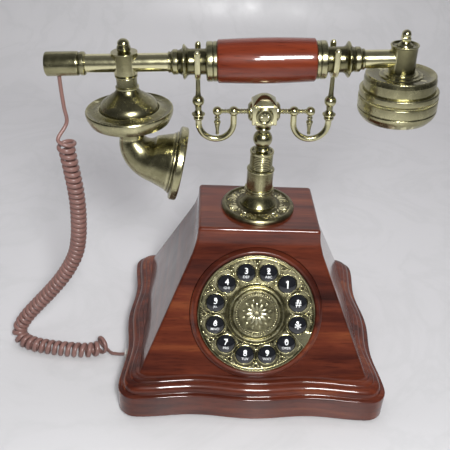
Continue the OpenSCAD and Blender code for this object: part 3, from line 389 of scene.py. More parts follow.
def lathe(name, profile, mat, body, slot, place=WORLD, sides=96, fillet=0.25, closed=False, sharp=38.0):
    verts, faces = lathe_data(profile, sides, fillet, closed)
    return finish_mesh(name, verts, faces, mat, body, slot, place, sharp)


def polar(r, degrees):
    return r * math.cos(math.radians(degrees)), r * math.sin(math.radians(degrees))


def moved(points, dx, dy):
    return [(dx + x, dy + y) for x, y in points]


def arc(cx, cy, r, a0, a1, n=8):
    return moved([polar(r, a0 + (a1 - a0) * i / n) for i in range(n + 1)], cx, cy)


def turned(node, profile, mat, body, place, sides=96, fillet=0.3, closed=True, slot="antique_brass"):
    """A turned piece that stands for a CAD node."""
    obj = lathe(node + "_piece", profile, mat, body, slot, place, sides, fillet, closed)
    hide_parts(node)
    return obj


def assembled(node, parts, mat, body, place, slot="antique_brass"):
    """A piece joined from several shapes that stands for a CAD node."""
    obj = finish_mesh(node + "_piece", *joined(parts), mat, body, slot, place)
    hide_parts(node)
    return obj


def smooth_curve(points, per=8):
    """Catmull-Rom curve through points."""
    pts = [Vector(p) for p in points]
    pts = [2 * pts[0] - pts[1]] + pts + [2 * pts[-1] - pts[-2]]
    out = []
    for i in range(1, len(pts) - 2):
        a, b, c, d = pts[i - 1 : i + 3]
        for k in range(per):
            t = k / per
            out.append(0.5 * ((2 * b) + (c - a) * t + (2 * a - 5 * b + 4 * c - d) * t * t + (3 * b - a - 3 * c + d) * t ** 3))
    out.append(pts[-2])
    return out


def frames_along(points):
    """A tangent and two normals at each point of a path, without twist."""
    pts = [Vector(p) for p in points]
    tangents = [(pts[min(i + 1, len(pts) - 1)] - pts[max(i - 1, 0)]).normalized() for i in range(len(pts))]
    up = Vector((0, 0, 1)) if abs(tangents[0].z) < 0.9 else Vector((0, -1, 0))
    normal = (up - tangents[0] * up.dot(tangents[0])).normalized()
    out = []
    for t in tangents:
        normal = (normal - t * normal.dot(t)).normalized()
        out.append((t, normal, t.cross(normal)))
    return out


def tube_data(points, radius, sides=12):
    """Points and faces of a tube along a path; radius is a number or one for each point."""
    radii = radius if hasattr(radius, "__len__") else [radius] * len(points)
    verts = []
    for p, r, (t, n, b) in zip(points, radii, frames_along(points)):
        for j in range(sides):
            a = 2 * math.pi * j / sides
            verts.append(tuple(Vector(p) + r * (math.cos(a) * n + math.sin(a) * b)))
    return verts, capped(len(points), sides)


def joined(parts):
    """Several (points, faces) as one, each moved by its own matrix."""
    verts, faces = [], []
    for (v, f), m in parts:
        base = len(verts)
        verts += [tuple(m @ Vector(p)) for p in v]
        faces += [tuple(base + i for i in face) for face in f]
    return verts, faces


def grid_faces(rows, count):
    """Faces between rings of points, each ring closed."""
    faces = []
    for i in range(rows - 1):
        for j in range(count):
            a, b = i * count + j, i * count + (j + 1) % count
            faces.append((a, b, b + count, a + count))
    return faces


def capped(rows, count):
    return grid_faces(rows, count) + [tuple(range(count - 1, -1, -1)), tuple(range((rows - 1) * count, rows * count))]


def sphere_data(r, rings=12, sides=24):
    return lathe_data(arc(0, 0, r, -90, 90, rings), sides, 0)


def block_data(size, bevel):
    """A box with its edges bevelled."""
    bm = bmesh.new()
    bmesh.ops.create_cube(bm, size=1)
    bmesh.ops.scale(bm, vec=size, verts=bm.verts)
    bmesh.ops.bevel(bm, geom=bm.edges[:], offset=bevel, segments=3, profile=0.5, affect="EDGES")
    bm.verts.ensure_lookup_table()
    verts = [tuple(v.co) for v in bm.verts]
    faces = [tuple(v.index for v in f.verts) for f in bm.faces]
    bm.free()
    return verts, faces


def cut(obj, cutters):
    """Cuts closed shapes, each (points, faces, matrix) in mm, out of a piece."""
    for v, f, m in cutters:
        mesh = bpy.data.meshes.new("cutter")
        mesh.from_pydata([(m @ Vector(p)) * MM for p in v], [], f)
        face_outward(mesh)
        tool = in_scene("cutter", mesh)
        mod = obj.modifiers.new("cut", "BOOLEAN")
        mod.operation, mod.solver, mod.object = "DIFFERENCE", "EXACT", tool
        graph = bpy.context.evaluated_depsgraph_get()
        cut_mesh = bpy.data.meshes.new_from_object(obj.evaluated_get(graph))
        obj.modifiers.clear()
        obj.data = cut_mesh
        bpy.data.objects.remove(tool)
    shade_smooth(obj.data)
    return obj


# ---------------------------------------------------------------- curly cord

WIRE_R, WIRE_HALF, HELIX_R = 1.35, 1.9, 4.85
TOP_ROUTE = [(-138.6, 0, 234), (-138.6, 0, 228), (-138.2, 0, 219), (-137.4, 0, 208), (-136.6, 0, 197), (-136.4, 0, 190)]
COIL_ROUTE = [
    (-138.4, 0, 183), (-138.4, 0, 179), (-137.4, 0, 170), (-136, 0, 158), (-134.6, 0, 144), (-134, 0, 130),
    (-134.4, 0, 116), (-135.6, 0, 102), (-138.4, 0, 88), (-144, -0.6, 75), (-152, -1.4, 62),
    (-162, -2, 49), (-173, -2.6, 36), (-183, -4, 24), (-189, -6, 14), (-189, -9.6, 8.4),
    (-184, -14, 6.3), (-175, -18.4, 6.3), (-164, -21, 6.3), (-151, -22.8, 6.3), (-138, -24, 6.3),
    (-130, -23.6, 6.3), (-123.6, -21.4, 6.3), (-118, -16, 6.3),
]
LOWER_ROUTE = [(-111.7, -23.4, 3.0), (-109.1, -25.1, 4.2), (-106.6, -26.9, 5.6), (-104.1, -28.7, 7.3), (-101.6, -30.4, 9.1),
    (-99.4, -32.0, 10.8)]


def pitch_at(t):
    """Spacing of the turns along the coil: wide where it hangs from its end, close half way, open on the table."""
    stops = ((0.0, 6.4), (0.03, 4.9), (0.16, 4.3), (0.34, 4.05), (0.5, 4.5), (0.64, 4.6), (0.76, 5.4), (1.0, 5.5))
    for (a, x), (b, y) in zip(stops, stops[1:]):
        if t <= b:
            return x + (y - x) * (t - a) / (b - a)
    return stops[-1][1]


def helix(axis, per_turn=18):
    """Points of a left-handed coil round an axis curve, with the axis direction at each; it ends at the bottom of a turn."""
    frames = frames_along(axis)
    end_angle = math.atan2(frames[-1][2].z, -frames[-1][1].z)
    steps = [(b - a).length for a, b in zip(axis, axis[1:])]
    total, spots, run, angle = sum(steps), [], 0.0, 0.0
    for i, step in enumerate(steps):
        n = max(1, round(step / pitch_at(run / total) * per_turn))
        for k in range(n):
            spots.append((i, k / n, angle, run / total))
            angle += 2 * math.pi * step / pitch_at(run / total) / n
            run += step / n
    out = []
    for i, t, a, at in spots:
        a += end_angle - angle
        swell = 1 + 0.32 * max(0, 1 - at / 0.022) ** 0.5 + 0.30 * max(0, (at - 0.975) / 0.025) ** 0.5
        centre = axis[i].lerp(axis[i + 1], t) + Vector((0, 0, (swell - 1) * HELIX_R)) * (1 if at > 0.5 else 0)
        u, v = frames[i][1].lerp(frames[i + 1][1], t), frames[i][2].lerp(frames[i + 1][2], t)
        out.append((centre + swell * HELIX_R * (math.cos(a) * u - math.sin(a) * v), frames[i][0]))
    return out


def make_cord():
    axis = smooth_curve(COIL_ROUTE, 6)
    coil = helix(axis)
    first, last = coil[0][0], coil[-1][0]
    lead_in = smooth_curve(TOP_ROUTE[:-1] + [tuple(first + (coil[0][0] - coil[1][0]).normalized() * 3 + Vector((0, 0, 4))),
        tuple(first)], 8)[:-1]
    tangent = (coil[-1][0] - coil[-2][0]).normalized()
    lead_out = smooth_curve([tuple(last), tuple(last + tangent * 3.5), *LOWER_ROUTE], 8)[1:]
    path = lead_in + [c[0] for c in coil] + lead_out
    path = [Vector((p[0], p[1], max(p[2], WIRE_R + 0.05))) for p in path]
    axes = [Vector((0, 1, 0))] * len(lead_in) + [c[1] for c in coil] + [coil[-1][1]] * len(lead_out)
    verts, faces = [], []
    for i, (p, along) in enumerate(zip(path, axes)):
        t = (path[min(i + 1, len(path) - 1)] - path[max(i - 1, 0)]).normalized()
        wide = (along - t * along.dot(t)).normalized()
        thin = t.cross(wide)
        inside = min(1.0, max(0.0, min(i - len(lead_in), len(lead_in) + len(coil) - i) / 18))
        half = WIRE_R + (WIRE_HALF - WIRE_R) * inside
        for j in range(12):
            a = 2 * math.pi * j / 12
            verts.append(tuple(p + wide * half * math.cos(a) + thin * WIRE_R * math.sin(a)))
    faces = capped(len(path), 12)
    obj = finish_mesh("curly_cord", verts, faces, vinyl, "handset", "cord", sharp=60)
    obj.parent = None
    del obj["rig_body"]
    path_m = [tuple(p * MM) for p in path]
    length = sum((Vector(b) - Vector(a)).length for a, b in zip(path_m, path_m[1:]))
    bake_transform(obj)
    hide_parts("cord_top", "cord_coil", "cord_lower")
    return length


cord_length = make_cord()

# ---------------------------------------------------------------- base woodwork


def swept_width(half_top, half_foot, z):
    """Half width of the body at a height: a straight slope, then a sweep up to plumb."""
    slope = math.atan2(half_foot - half_top, SLOPE_TOP - FOOT_Z)
    centre_z = SLOPE_TOP + SWEEP_R * math.tan(slope / 2)
    start = centre_z - SWEEP_R * math.sin(slope)
    if z <= start:
        return half_foot - (z - FOOT_Z) * math.tan(slope)
    if z >= centre_z:
        return half_top
    return half_top + SWEEP_R - math.sqrt(SWEEP_R ** 2 - (centre_z - z) ** 2)


def rounded_rect(hx, hy, r, n=5):
    points = []
    for sx, sy, start in ((1, 1, 0), (-1, 1, 90), (-1, -1, 180), (1, -1, 270)):
        points += arc(sx * (hx - r), sy * (hy - r), r, start, start + 90, n)
    return points


def body_block(less, foot, top, edge, top_round):
    """The body's outside, or its hollow, as stacked rounded rectangles."""
    heights = [foot] + [FOOT_Z + (SLOPE_TOP - FOOT_Z) * t for t in (0.15, 0.3, 0.45, 0.58, 0.68, 0.76, 0.84, 0.92, 1.0)]
    heights += [SLOPE_TOP + 3.5, SLOPE_TOP + 7, SLOPE_TOP + 9]
    heights = [h for h in heights if h < top - top_round - 0.2] + [top - top_round]
    rows = [(h, 0.0) for h in heights]
    for back, up in [polar(top_round, a) for a in (22, 45, 67, 90) if top_round]:
        rows.append((top - top_round + up, top_round - back))
    verts = []
    for z, inset in rows:
        hx = swept_width(TOP_W / 2, FOOT_W / 2, z) - less - inset
        hy = swept_width(TOP_D / 2, FOOT_D / 2, z) - less - inset
        verts += [(x, y, z) for x, y in rounded_rect(hx, hy, max(edge - inset * 0.4, 0.6))]
    return verts, capped(len(rows), 24)


def block_cutter(x0, x1, y0, y1, z0, z1):
    v = [(x, y, z) for z in (z0, z1) for y in (y0, y1) for x in (x0, x1)]
    f = [(0, 2, 3, 1), (4, 5, 7, 6), (0, 1, 5, 4), (2, 6, 7, 3), (0, 4, 6, 2), (1, 3, 7, 5)]
    return v, f, WORLD


def drum_cutter(r, z0, z1, place, sides=96):
    v, f = lathe_data([(0, z0), (r, z0), (r, z1), (0, z1)], sides, 0)
    return v, f, place


def grain_by_side(obj):
    """Front, back and top take the first wood, the two sides the second."""
    for p in obj.data.polygons:
        p.material_index = 1 if abs(p.normal.x) > abs(p.normal.y) and abs(p.normal.x) > 0.6 * abs(p.normal.z) else 0


def weigh_normals(obj):
    mod = obj.modifiers.new("normals", "WEIGHTED_NORMAL")
    mod.keep_sharp = True
    mod.weight = 80


BORE = drum_cutter(RING_OUT + 0.4, -26, 34, DIAL)


def make_body():
    verts, faces = body_block(0, FOOT_Z, BODY_H, 2.2, 2.4)
    obj = finish_mesh("wood_body_piece", verts, faces, [wood_x, wood_y], "base", "wood_dark")
    v, f = body_block(7, FOOT_Z - 1, BODY_H - 10, 1.0, 0)
    cut(obj, [(v, f, WORLD), BORE, drum_cutter(6.05, BODY_H - 20, BODY_H + 5, WORLD, 48)])
    grain_by_side(obj)
    weigh_normals(obj)
    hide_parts("wood_body")


def plinth_outline(inset):
    hx, hy, r = PLINTH_W / 2 - inset, PLINTH_D / 2 - inset, max(PLINTH_R - inset / 2, 3)
    points = []
    for run, out, angle in ((hy - r, hx, 0), (hx - r, hy, 90), (hy - r, hx, 180), (hx - r, hy, 270)):
        c, s = polar(1, angle)
        side = [(out - WAVE / 2 * (1 - math.cos(math.radians(720 * i / 40))), (2 * i / 40 - 1) * run) for i in range(41)]
        side += moved([polar(r, a) for a in (12, 25, 38, 52, 65, 78)], out - r, run)
        points += [(x * c - y * s, x * s + y * c) for x, y in side]
    return points


def make_plinth():
    rows = [(3.0, 1.5), (0.6, 1.6), (0.0, 2.4), (0.0, 20.6), (0.25, 21.2), (0.9, 21.6), (3.1, 21.75), (3.35, 22.0), (3.4, 22.7)]
    cove = [polar(1, a) for a in (8, 22, 37, 52, 68, 84)]
    rows += [(3.7 + 4.6 * (1 - c), 22.9 + 4.9 * s) for c, s in cove]
    rows += [(8.6, 27.9), (8.8, 28.6), (9.4, 29.3), (10.3, 29.6), (11.5, 29.65), (12.3, 29.75), (12.6, 30.1), (12.7, 30.9),
        (13.0, 31.25), (14.5, 31.35)]
    verts = [(x, y, z) for inset, z in rows for x, y in plinth_outline(inset)]
    count = len(plinth_outline(0))
    obj = finish_mesh("plinth_piece", verts, capped(len(rows), count), [wood_x, wood_y], "base", "wood_dark")
    cuts = [
        block_cutter(-(FOOT_W - 14) / 2, (FOOT_W - 14) / 2, -(FOOT_D - 14) / 2, (FOOT_D - 14) / 2, -5, 60),
        block_cutter(-(FOOT_W + 2) / 2, (FOOT_W + 2) / 2, -(FOOT_D + 2) / 2, (FOOT_D + 2) / 2, -5, 5.5),
        BORE,
        block_cutter(-PLINTH_W / 2 - 3, -PLINTH_W / 2 + 26, HAND_JACK_Y - 6.6, HAND_JACK_Y + 6.6, JACK_Z - 6.1, JACK_Z + 6.1),
        block_cutter(LINE_JACK_X - 6.6, LINE_JACK_X + 6.6, PLINTH_D / 2 - 26, PLINTH_D / 2 + 3, JACK_Z - 6.1, JACK_Z + 6.1),
    ]
    cut(obj, cuts)
    grain_by_side(obj)
    weigh_normals(obj)
    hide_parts("plinth")


make_body()
make_plinth()

ring_profile = [(RING_IN, -12)] + arc(RING_IN + 1.7, -1.2, 1.7, 180, 62, 8) + [(RING_OUT - 1.0, -1.7), (RING_OUT - 0.3, -2.2),
    (RING_OUT, -2.9), (RING_OUT, -12)]
turned("dial_ring", ring_profile, wood_x, "base", DIAL, 128, slot="wood_dark")

# ---------------------------------------------------------------- dial

KEYS = ["1", "2", "3", "4", "5", "6", "7", "8", "9", "0", "star", "hash"]
LETTERS = ["", "ABC", "DEF", "GHI", "JKL", "MNO", "PRS", "TUV", "WXY", "OPER", "", ""]


def key_centre(i):
    return Vector((*polar(KEY_CIRCLE, 46 + 30 * i), 0))


def scroll(turns, r0, r1, lift, wire, side, n=22):
    """A flat spiral that opens as it goes, as a tapering relief."""
    pts, radii = [], []
    for i in range(n + 1):
        t = i / n
        a = side * (math.pi / 2 + turns * 2 * math.pi * t)
        r = r0 + (r1 - r0) * t
        pts.append(Vector((r * math.cos(a), r * math.sin(a), lift)))
        radii.append(wire * (1.0 - 0.45 * t))
    return tube_data(pts, radii, 8)


def petal(length, width, height, base=0.0):
    """A leaf lying on z = 0, pointing along +X."""
    v, f = sphere_data(1, 8, 12)
    return [((x + 1) / 2 * length + base, y * width / 2 * (1 - 0.25 * x), z * height) for x, y, z in v], f


# turns, first and last radius, wire, way round, place outwards and sideways
SCROLLS = ((0.9, 0.3, 1.55, 0.27, 1, 1.4, 2.1), (0.8, 0.25, 1.15, 0.24, -1, 2.5, 5.0), (0.6, 0.2, 0.9, 0.22, 1, 2.9, 7.6))
# length, width, height, place outwards and sideways, angle
LEAVES = ((3.2, 0.8, 0.3, -1.6, 0.6, 30), (2.4, 0.7, 0.28, 0.9, 3.4, 62), (2.2, 0.6, 0.25, 1.9, 6.0, 80))


def dial_ornaments():
    """Scrolls and leaves of low relief, repeated between the keys."""
    parts = []
    for k in range(12):
        mid = turn(46 + 15 + 30 * k, "Z")
        outer = mid @ shift(37.6, 0, 0)
        for side in (-1, 1):
            for turns, r0, r1, wire, way, x, y in SCROLLS:
                parts.append((scroll(turns, r0, r1, 0.08, wire, way * side), outer @ shift(x, side * y, 0)))
            for length, width, height, x, y, angle in LEAVES:
                parts.append((petal(length, width, height), outer @ shift(x, side * y, 0) @ turn(side * angle, "Z")))
            parts.append((petal(1.8, 0.6, 0.25), outer @ shift(-3.6, side * 0.3, 0) @ turn(180 - side * 28, "Z")))
        parts.append((petal(3.0, 0.8, 0.34), outer @ shift(-3.2, 0, 0)))
        parts.append((petal(1.9, 0.8, 0.34), outer @ shift(1.7, 0, 0)))
        inner = mid @ shift(25.4, 0, 0)
        for side in (-1, 1):
            parts.append((scroll(0.8, 0.2, 1.0, 0.08, 0.22, side), inner @ shift(-0.4, side * 1.4, 0)))
            parts.append((petal(1.7, 0.6, 0.22), inner @ shift(-1.4, side * 2.4, 0) @ turn(side * 74, "Z")))
        parts.append((petal(2.8, 0.8, 0.3), inner @ shift(0.2, 0, 0)))
    return joined(parts)


def make_dial():
    rim = [(0, -1.6), (0, 0.4), (-0.35, 0.8), (-0.9, 0.8), (-1.5, 0.4), (-1.6, 0.0), (-2.1, 0.12), (-2.4, 0.0)]
    profile = [(0, -1.6)] + moved(rim, DIAL_R, 0) + moved([(2.3, 0), (2.0, 0.25), (1.6, 0.0)], HUB_R, 0) + [(0, 0)]
    plate = turned("dial_plate", profile, brass_cast, "base", DIAL, 128, 0.2, False)
    cut(plate, [drum_cutter(KEY_R + 0.25, -5, 5, DIAL @ Matrix.Translation(key_centre(i)), 64) for i in range(12)])
    lip = lathe_data(moved([(0.25, -0.3), (0.3, 0.45), (0.6, 0.62), (0.95, 0.5), (1.2, 0.0), (1.2, -0.3)], KEY_R, 0), 64, 0.1,
        True)
    lips = joined([(lip, Matrix.Translation(key_centre(i))) for i in range(12)])
    finish_mesh("dial_key_lips", *lips, brass_main, "base", "antique_brass", DIAL)
    finish_mesh("dial_scrollwork", *dial_ornaments(), brass_cast, "base", "antique_brass", DIAL)
    hub = [(HUB_R - 1.7, 0), (HUB_R - 1.7, 1.2)] + arc(HUB_R - 0.85, 1.2, 0.85, 180, 0, 10) + [(HUB_R, 0)]
    turned("hub_ring", hub, brass_pale, "base", DIAL, 128, 0.1)
    r = HUB_R - 2.9
    edge = [(0, 0.5), (0, 1.1), (-0.5, 1.6), (-1.3, 1.6), (-1.8, 1.15), (-3.6, 1.1), (-3.9, 1.35), (-4.3, 1.1)]
    face = [(0, 0.5)] + moved(edge, r, 0) + [(0, 1.3)]
    parts = [(lathe_data(face, 128, 0.15), WORLD)]
    parts += [(sphere_data(0.52, 6, 10), turn(360 * i / 54, "Z") @ shift(r - 2.7, 0, 1.05)) for i in range(54)]
    for i in range(12):
        parts.append((petal(6.2, 2.2, 0.5, 2.2), turn(30 * i, "Z") @ shift(0, 0, 1.12)))
        parts.append((petal(3.0, 1.2, 0.4, 8.4), turn(30 * i + 15, "Z") @ shift(0, 0, 1.1)))
    parts.append((lathe_data([(0, 1.2), (2.6, 1.2), (2.6, 1.6), (1.9, 2.0), (0, 2.15)], 48, 0.2), WORLD))
    assembled("medallion", parts, brass_pale, "base", DIAL, "pale_brass")
    make_finger_stop()


def prism(outline, z0, z1, bevel):
    """An upright slab with its upper edge eased."""
    cx = sum(p[0] for p in outline) / len(outline)
    cy = sum(p[1] for p in outline) / len(outline)
    n = len(outline)
    rows = []
    for z, inset in ((z0, 0), (z1 - bevel, 0), (z1 - 0.3 * bevel, 0.3 * bevel), (z1, bevel)):
        for x, y in outline:
            d = math.hypot(x - cx, y - cy)
            k = (d - inset) / d
            rows.append((cx + (x - cx) * k, cy + (y - cy) * k, z))
    return rows, capped(4, n)


def make_finger_stop():
    rim = arc(0, 0, DIAL_R - 0.2, -34, -17, 14)
    outline = rim + [polar(KEY_CIRCLE - 2.5, -27)]
    v, f = prism(outline, 0.8, 1.7, 0.35)
    stop = finish_mesh("finger_stop_piece", v, f, brass_main, "base", "pale_brass", DIAL)
    star = Matrix.Translation(key_centre(10))
    cut(stop, [drum_cutter(KEY_R + 0.6, -5, 8, DIAL @ star, 64)])
    weigh_normals(stop)
    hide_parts("finger_stop")


CROWN_R = (KEY_R ** 2 + 2.1 ** 2) / 4.2


def dome(x, y):
    """Height of a key's crown above the plate."""
    return 1.2 + 2.1 - CROWN_R + math.sqrt(max(CROWN_R ** 2 - x * x - y * y, 0))


def laid_on_dome(bm, mesh, name, body, place):
    """Turns flat printed shapes into a skin on a key's dome."""
    bmesh.ops.triangulate(bm, faces=bm.faces)
    for axis in range(2):
        for i in range(-8, 9):
            normal, co = Vector((0, 0, 0)), Vector((0, 0, 0))
            normal[axis], co[axis] = 1, i * 0.75
            bmesh.ops.bisect_plane(bm, geom=bm.verts[:] + bm.edges[:] + bm.faces[:], plane_co=co, plane_no=normal)
    for v in bm.verts:
        v.co.z = dome(v.co.x, v.co.y) + 0.05
        v.co = (place @ v.co) * MM
    bm.to_mesh(mesh)
    bm.free()
    mesh.materials.clear()
    mesh.materials.append(print_white)
    obj = in_scene(name, mesh)
    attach(obj, body)


def star_sign(name, body, place):
    """A six-armed star with arms that widen outwards."""
    bm = bmesh.new()
    for i in range(6):
        c, s = polar(1, 60 * i + 30)
        arm = [(0.25, -0.22), (2.3, -0.52), (2.55, 0), (2.3, 0.52), (0.25, 0.22)]
        bm.faces.new([bm.verts.new((x * c - y * s, x * s + y * c, 0.0)) for x, y in arm])
    mesh = bpy.data.meshes.new(name)
    laid_on_dome(bm, mesh, name, body, place)


def engraved(words, size, rise, name, body, place):
    """Printed characters on a key."""
    font = bpy.data.curves.new(name, "FONT")
    font.body, font.size, font.align_x, font.align_y = words, 1.0, "CENTER", "CENTER"
    font.offset = 0.006
    font.resolution_u = 4
    holder = in_scene(name, font)
    mesh = bpy.data.meshes.new_from_object(holder.evaluated_get(bpy.context.evaluated_depsgraph_get()))
    bpy.data.objects.remove(holder)
    bm = bmesh.new()
    bm.from_mesh(mesh)
    low = Vector((min(v.co.x for v in bm.verts), min(v.co.y for v in bm.verts), 0))
    high = Vector((max(v.co.x for v in bm.verts), max(v.co.y for v in bm.verts), 0))
    k = size / (high.y - low.y)
    centre = (low + high) / 2
    for v in bm.verts:
        v.co = Vector(((v.co.x - centre.x) * k, (v.co.y - centre.y) * k + rise, 0))
    laid_on_dome(bm, mesh, name, body, place)


def make_keys():
    half = math.degrees(math.asin(KEY_R / CROWN_R))
    crown = arc(0, 3.3 - CROWN_R, CROWN_R, 90 - half, 90, 12)
    crown[-1] = (0, crown[-1][1])
    profile = [(0, -4.15), (2.5, -4.15), (2.5, -2.85), (KEY_R + 1.1, -2.85), (KEY_R + 1.1, -1.65), (KEY_R, -1.65),
        (KEY_R, 0.9)] + crown
    for i, key in enumerate(KEYS):
        body = f"key_{key}_cap"
        place = DIAL @ Matrix.Translation(key_centre(i))
        cap = lathe(f"key_{key}_piece", profile, key_black, body, "key_black", place, 64, 0.45, False, 60)
        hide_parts(f"key_{key}")
        sign = "#" if key == "hash" else key
        plain = LETTERS[i] == ""
        if key == "star":
            star_sign(f"key_{key}_digit", body, place)
            continue
        engraved(sign, 5.0 if key == "hash" else 5.4 if plain else 4.3, 0 if plain else 1.9, f"key_{key}_digit", body, place)
        if not plain:
            engraved(LETTERS[i], 1.9, -2.5, f"key_{key}_letters", body, place)


make_dial()
make_keys()

# ---------------------------------------------------------------- column


def flange_ornaments():
    parts = []
    for k in range(8):
        at = turn(45 * k + 22.5, "Z")
        for side in (-1, 1):
            parts.append((petal(6.4, 2.6, 0.9), at @ shift(16.4, side * 0.7, 0) @ turn(side * 24, "Z")))
            parts.append((petal(4.4, 1.9, 0.8), at @ shift(16.0, side * 2.2, 0) @ turn(side * 62, "Z")))
            parts.append((scroll(0.8, 0.4, 1.7, 0.2, 0.5, side), at @ shift(20.4, side * 5.2, 0)))
        parts.append((petal(7.4, 2.2, 1.1), at @ shift(15.6, 0, 0)))
        parts.append((sphere_data(0.9, 6, 12), turn(45 * k, "Z") @ shift(17.2, 0, 0)))
    return joined(parts)


def make_column():
    z = BODY_H
    flange = [
        (6.1, 0), (27, 0), (27, 2.1), (26.2, 3.3), (25.2, 3.75), (24.2, 3.7), (23.6, 3.0), (22.5, 2.75), (16, 3.3),
        (14.9, 3.55), (14.4, 3.8), (6.1, 3.8),
    ]
    turned("column_flange", flange, brass_recess, "base", shift(0, 0, z), 128, 0.35)
    finish_mesh("column_flange_relief", *flange_ornaments(), brass_cast, "base", "antique_brass", shift(0, 0, z + 2.75))
    foot = 12.8
    skirt = [(6.1, 0), (foot, 0), (foot, 0.9), (foot - 0.5, 1.3)] + arc(foot + 16.6, 13.2, 20, 217, 188, 12)
    skirt += [(10.8, 10.5), (10.85, 11.4), (10.2, 11.9), (10.6, 12.4), (10.6, 13.2), (10.2, 13.5), (6.1, 13.5)]
    turned("column_skirt", skirt, brass_streaked, "base", shift(0, 0, z + 3.8))
    low, top = 151.3, COLUMN_TOP
    tube = [(4.35, z - 18), (6, z - 18), (6, low), (9.6, low)] + moved([(9.6, -15.9), (10.0, -15.6), (10.0, -14.7),
        (9.2, -13.9)], 0, top)
    pitch = 10.9 / 8
    for i in range(8):
        tube += [(7.75, top - 13.5 + i * pitch), (8.2, top - 13.5 + (i + 0.28) * pitch), (8.2, top - 13.5 + (i + 0.72) * pitch)]
    tube += moved([(7.8, -2.6), (8.6, -2.1), (8.6, -0.4), (8.2, 0), (7.3, 0), (6.6, -1.2), (4.35, -1.6)], 0, top)
    turned("column_tube", tube, brass_streaked, "base", WORLD, fillet=0.22)


make_column()

# ---------------------------------------------------------------- cradle

BLOCK_LOW, BALL_X, OUTER_X, FORK_X, BEND_R = ARM_Z - 7, 20.7, 32.0, 45.0, 12.15
BEND_Z = ARM_Z - 17.5 - 1.05 - 2.2 + BEND_R


def make_baluster():
    t, ring_z = COLUMN_TOP, BLOCK_LOW - 5.6
    profile = [(4.5, t + 0.8), (5.6, t + 0.8), (6, t + 1.4), (5, t + 2.6)] + arc(0, t + 9, 6.8, -48, 55, 16)
    profile += [(3.9, ring_z - 0.8), (5.2, ring_z - 0.4), (5.6, ring_z + 0.4), (5.2, ring_z + 1.2), (4.4, ring_z + 1.7)]
    profile += arc(3, BLOCK_LOW + 0.7, 4.8, -42, -2, 6) + [(7.8, BLOCK_LOW + 0.85), (0, BLOCK_LOW + 0.85), (0, t + 5.6),
        (4.5, t + 5.6)]
    turned("baluster", profile, brass_main, "cradle", CRADLE)


def make_block():
    parts = [(block_data((17, 17, 14), 0.7), shift(0, 0, ARM_Z))]
    cap = [(8.2, 0.9, 0.0), (8.3, 1.0, 0.35), (7.9, 1.3, 0.8), (7.2, 2.2, 1.7), (6.3, 3.0, 2.9), (5.1, 3.4, 4.1),
        (3.7, 3.0, 5.1), (2.1, 1.9, 5.7), (0.7, 0.65, 5.95)]
    rows = []
    for half, edge, z in cap:
        rows += [(x, y, z) for x, y in rounded_rect(half, half, edge)]
    parts.append(((rows, capped(len(cap), 24)), shift(0, 0, ARM_Z + 6.9)))
    boss = [(0, -1), (6, -1), (6, 1.2), (5.7, 1.8), (5.0, 2.1), (4.4, 2), (3.8, 1.6), (2.2, 2.1), (0, 2.5)]
    for side in (-1, 1):
        face = shift(0, side * 8.5, ARM_Z) @ turn(-90 * side, "X")
        parts.append((lathe_data(boss, 48, 0.3), face))
        for i in range(8):
            parts.append((petal(2.6, 1.3, 0.5, 1.0), face @ turn(45 * i, "Z") @ shift(0, 0, 1.75)))
        for a in (45, 135, 225, 315):
            parts.append((petal(2.6, 1.5, 0.6), face @ turn(a, "Z") @ shift(7.0, 0, 0)))
    assembled("head_block", parts, brass_main, "cradle", CRADLE)


def beads(rod_r, bead_r, x0, x1, count):
    step = (x1 - x0) / count
    profile = [(0, x0)]
    for i in range(count):
        for k, h in ((0.06, 0.0), (0.22, 0.72), (0.5, 1.0), (0.78, 0.72), (0.94, 0.0)):
            profile.append((rod_r + (bead_r - rod_r) * h, x0 + (i + k) * step))
    return lathe_data(profile + [(0, x1)], 32, 0.05)


def make_arm(side, name):
    across = shift(0, 0, ARM_Z) @ (turn(90, "Y") if side > 0 else turn(-90, "Y"))
    washer = [(0, 8.5), (6.6, 8.5), (6.6, 9.4), (6.2, 9.9), (5.4, 10.4), (5.0, 10.9), (3.6, 10.8), (2.4, 11.1), (0, 11.1)]
    parts = [
        (lathe_data(washer, 48, 0.25), across),
        (beads(1.3, 1.9, 10.5, BALL_X - 2.6, 4), across),
        (sphere_data(3.5, 16, 32), shift(side * BALL_X, 0, ARM_Z)),
        (beads(1.1, 1.6, BALL_X + 2.8, OUTER_X - 2.6, 3), across),
        (sphere_data(3.3, 16, 32), shift(side * OUTER_X, 0, ARM_Z)),
    ]
    drop = arc(0, 1.3, 1.3, -90, 20, 6) + [
        (1.1, 2.6), (1.4, 5.5), (2, 8.4), (2.4, 9.2), (2.3, 10.2), (1.5, 10.8), (1.5, 12), (2, 12.4), (1.9, 13.2), (1.3, 13.8),
        (1.6, 16.5), (0, 16.5),
    ]
    drop[0] = (0, drop[0][1])
    parts.append((lathe_data(drop, 32, 0.2), shift(side * OUTER_X, 0, ARM_Z - 17.5)))
    mid = (BALL_X + FORK_X) / 2
    bend = [Vector((side * BALL_X, 0, ARM_Z))]
    bend += [Vector((side * (mid - x), 0, BEND_Z - z)) for x, z in (polar(BEND_R, a) for a in range(0, 181, 9))]
    bend.append(Vector((side * FORK_X, 0, ARM_Z - 5.9)))
    parts.append((tube_data(bend, 2.2, 20), WORLD))
    assembled(name, parts, brass_main, "cradle", CRADLE)


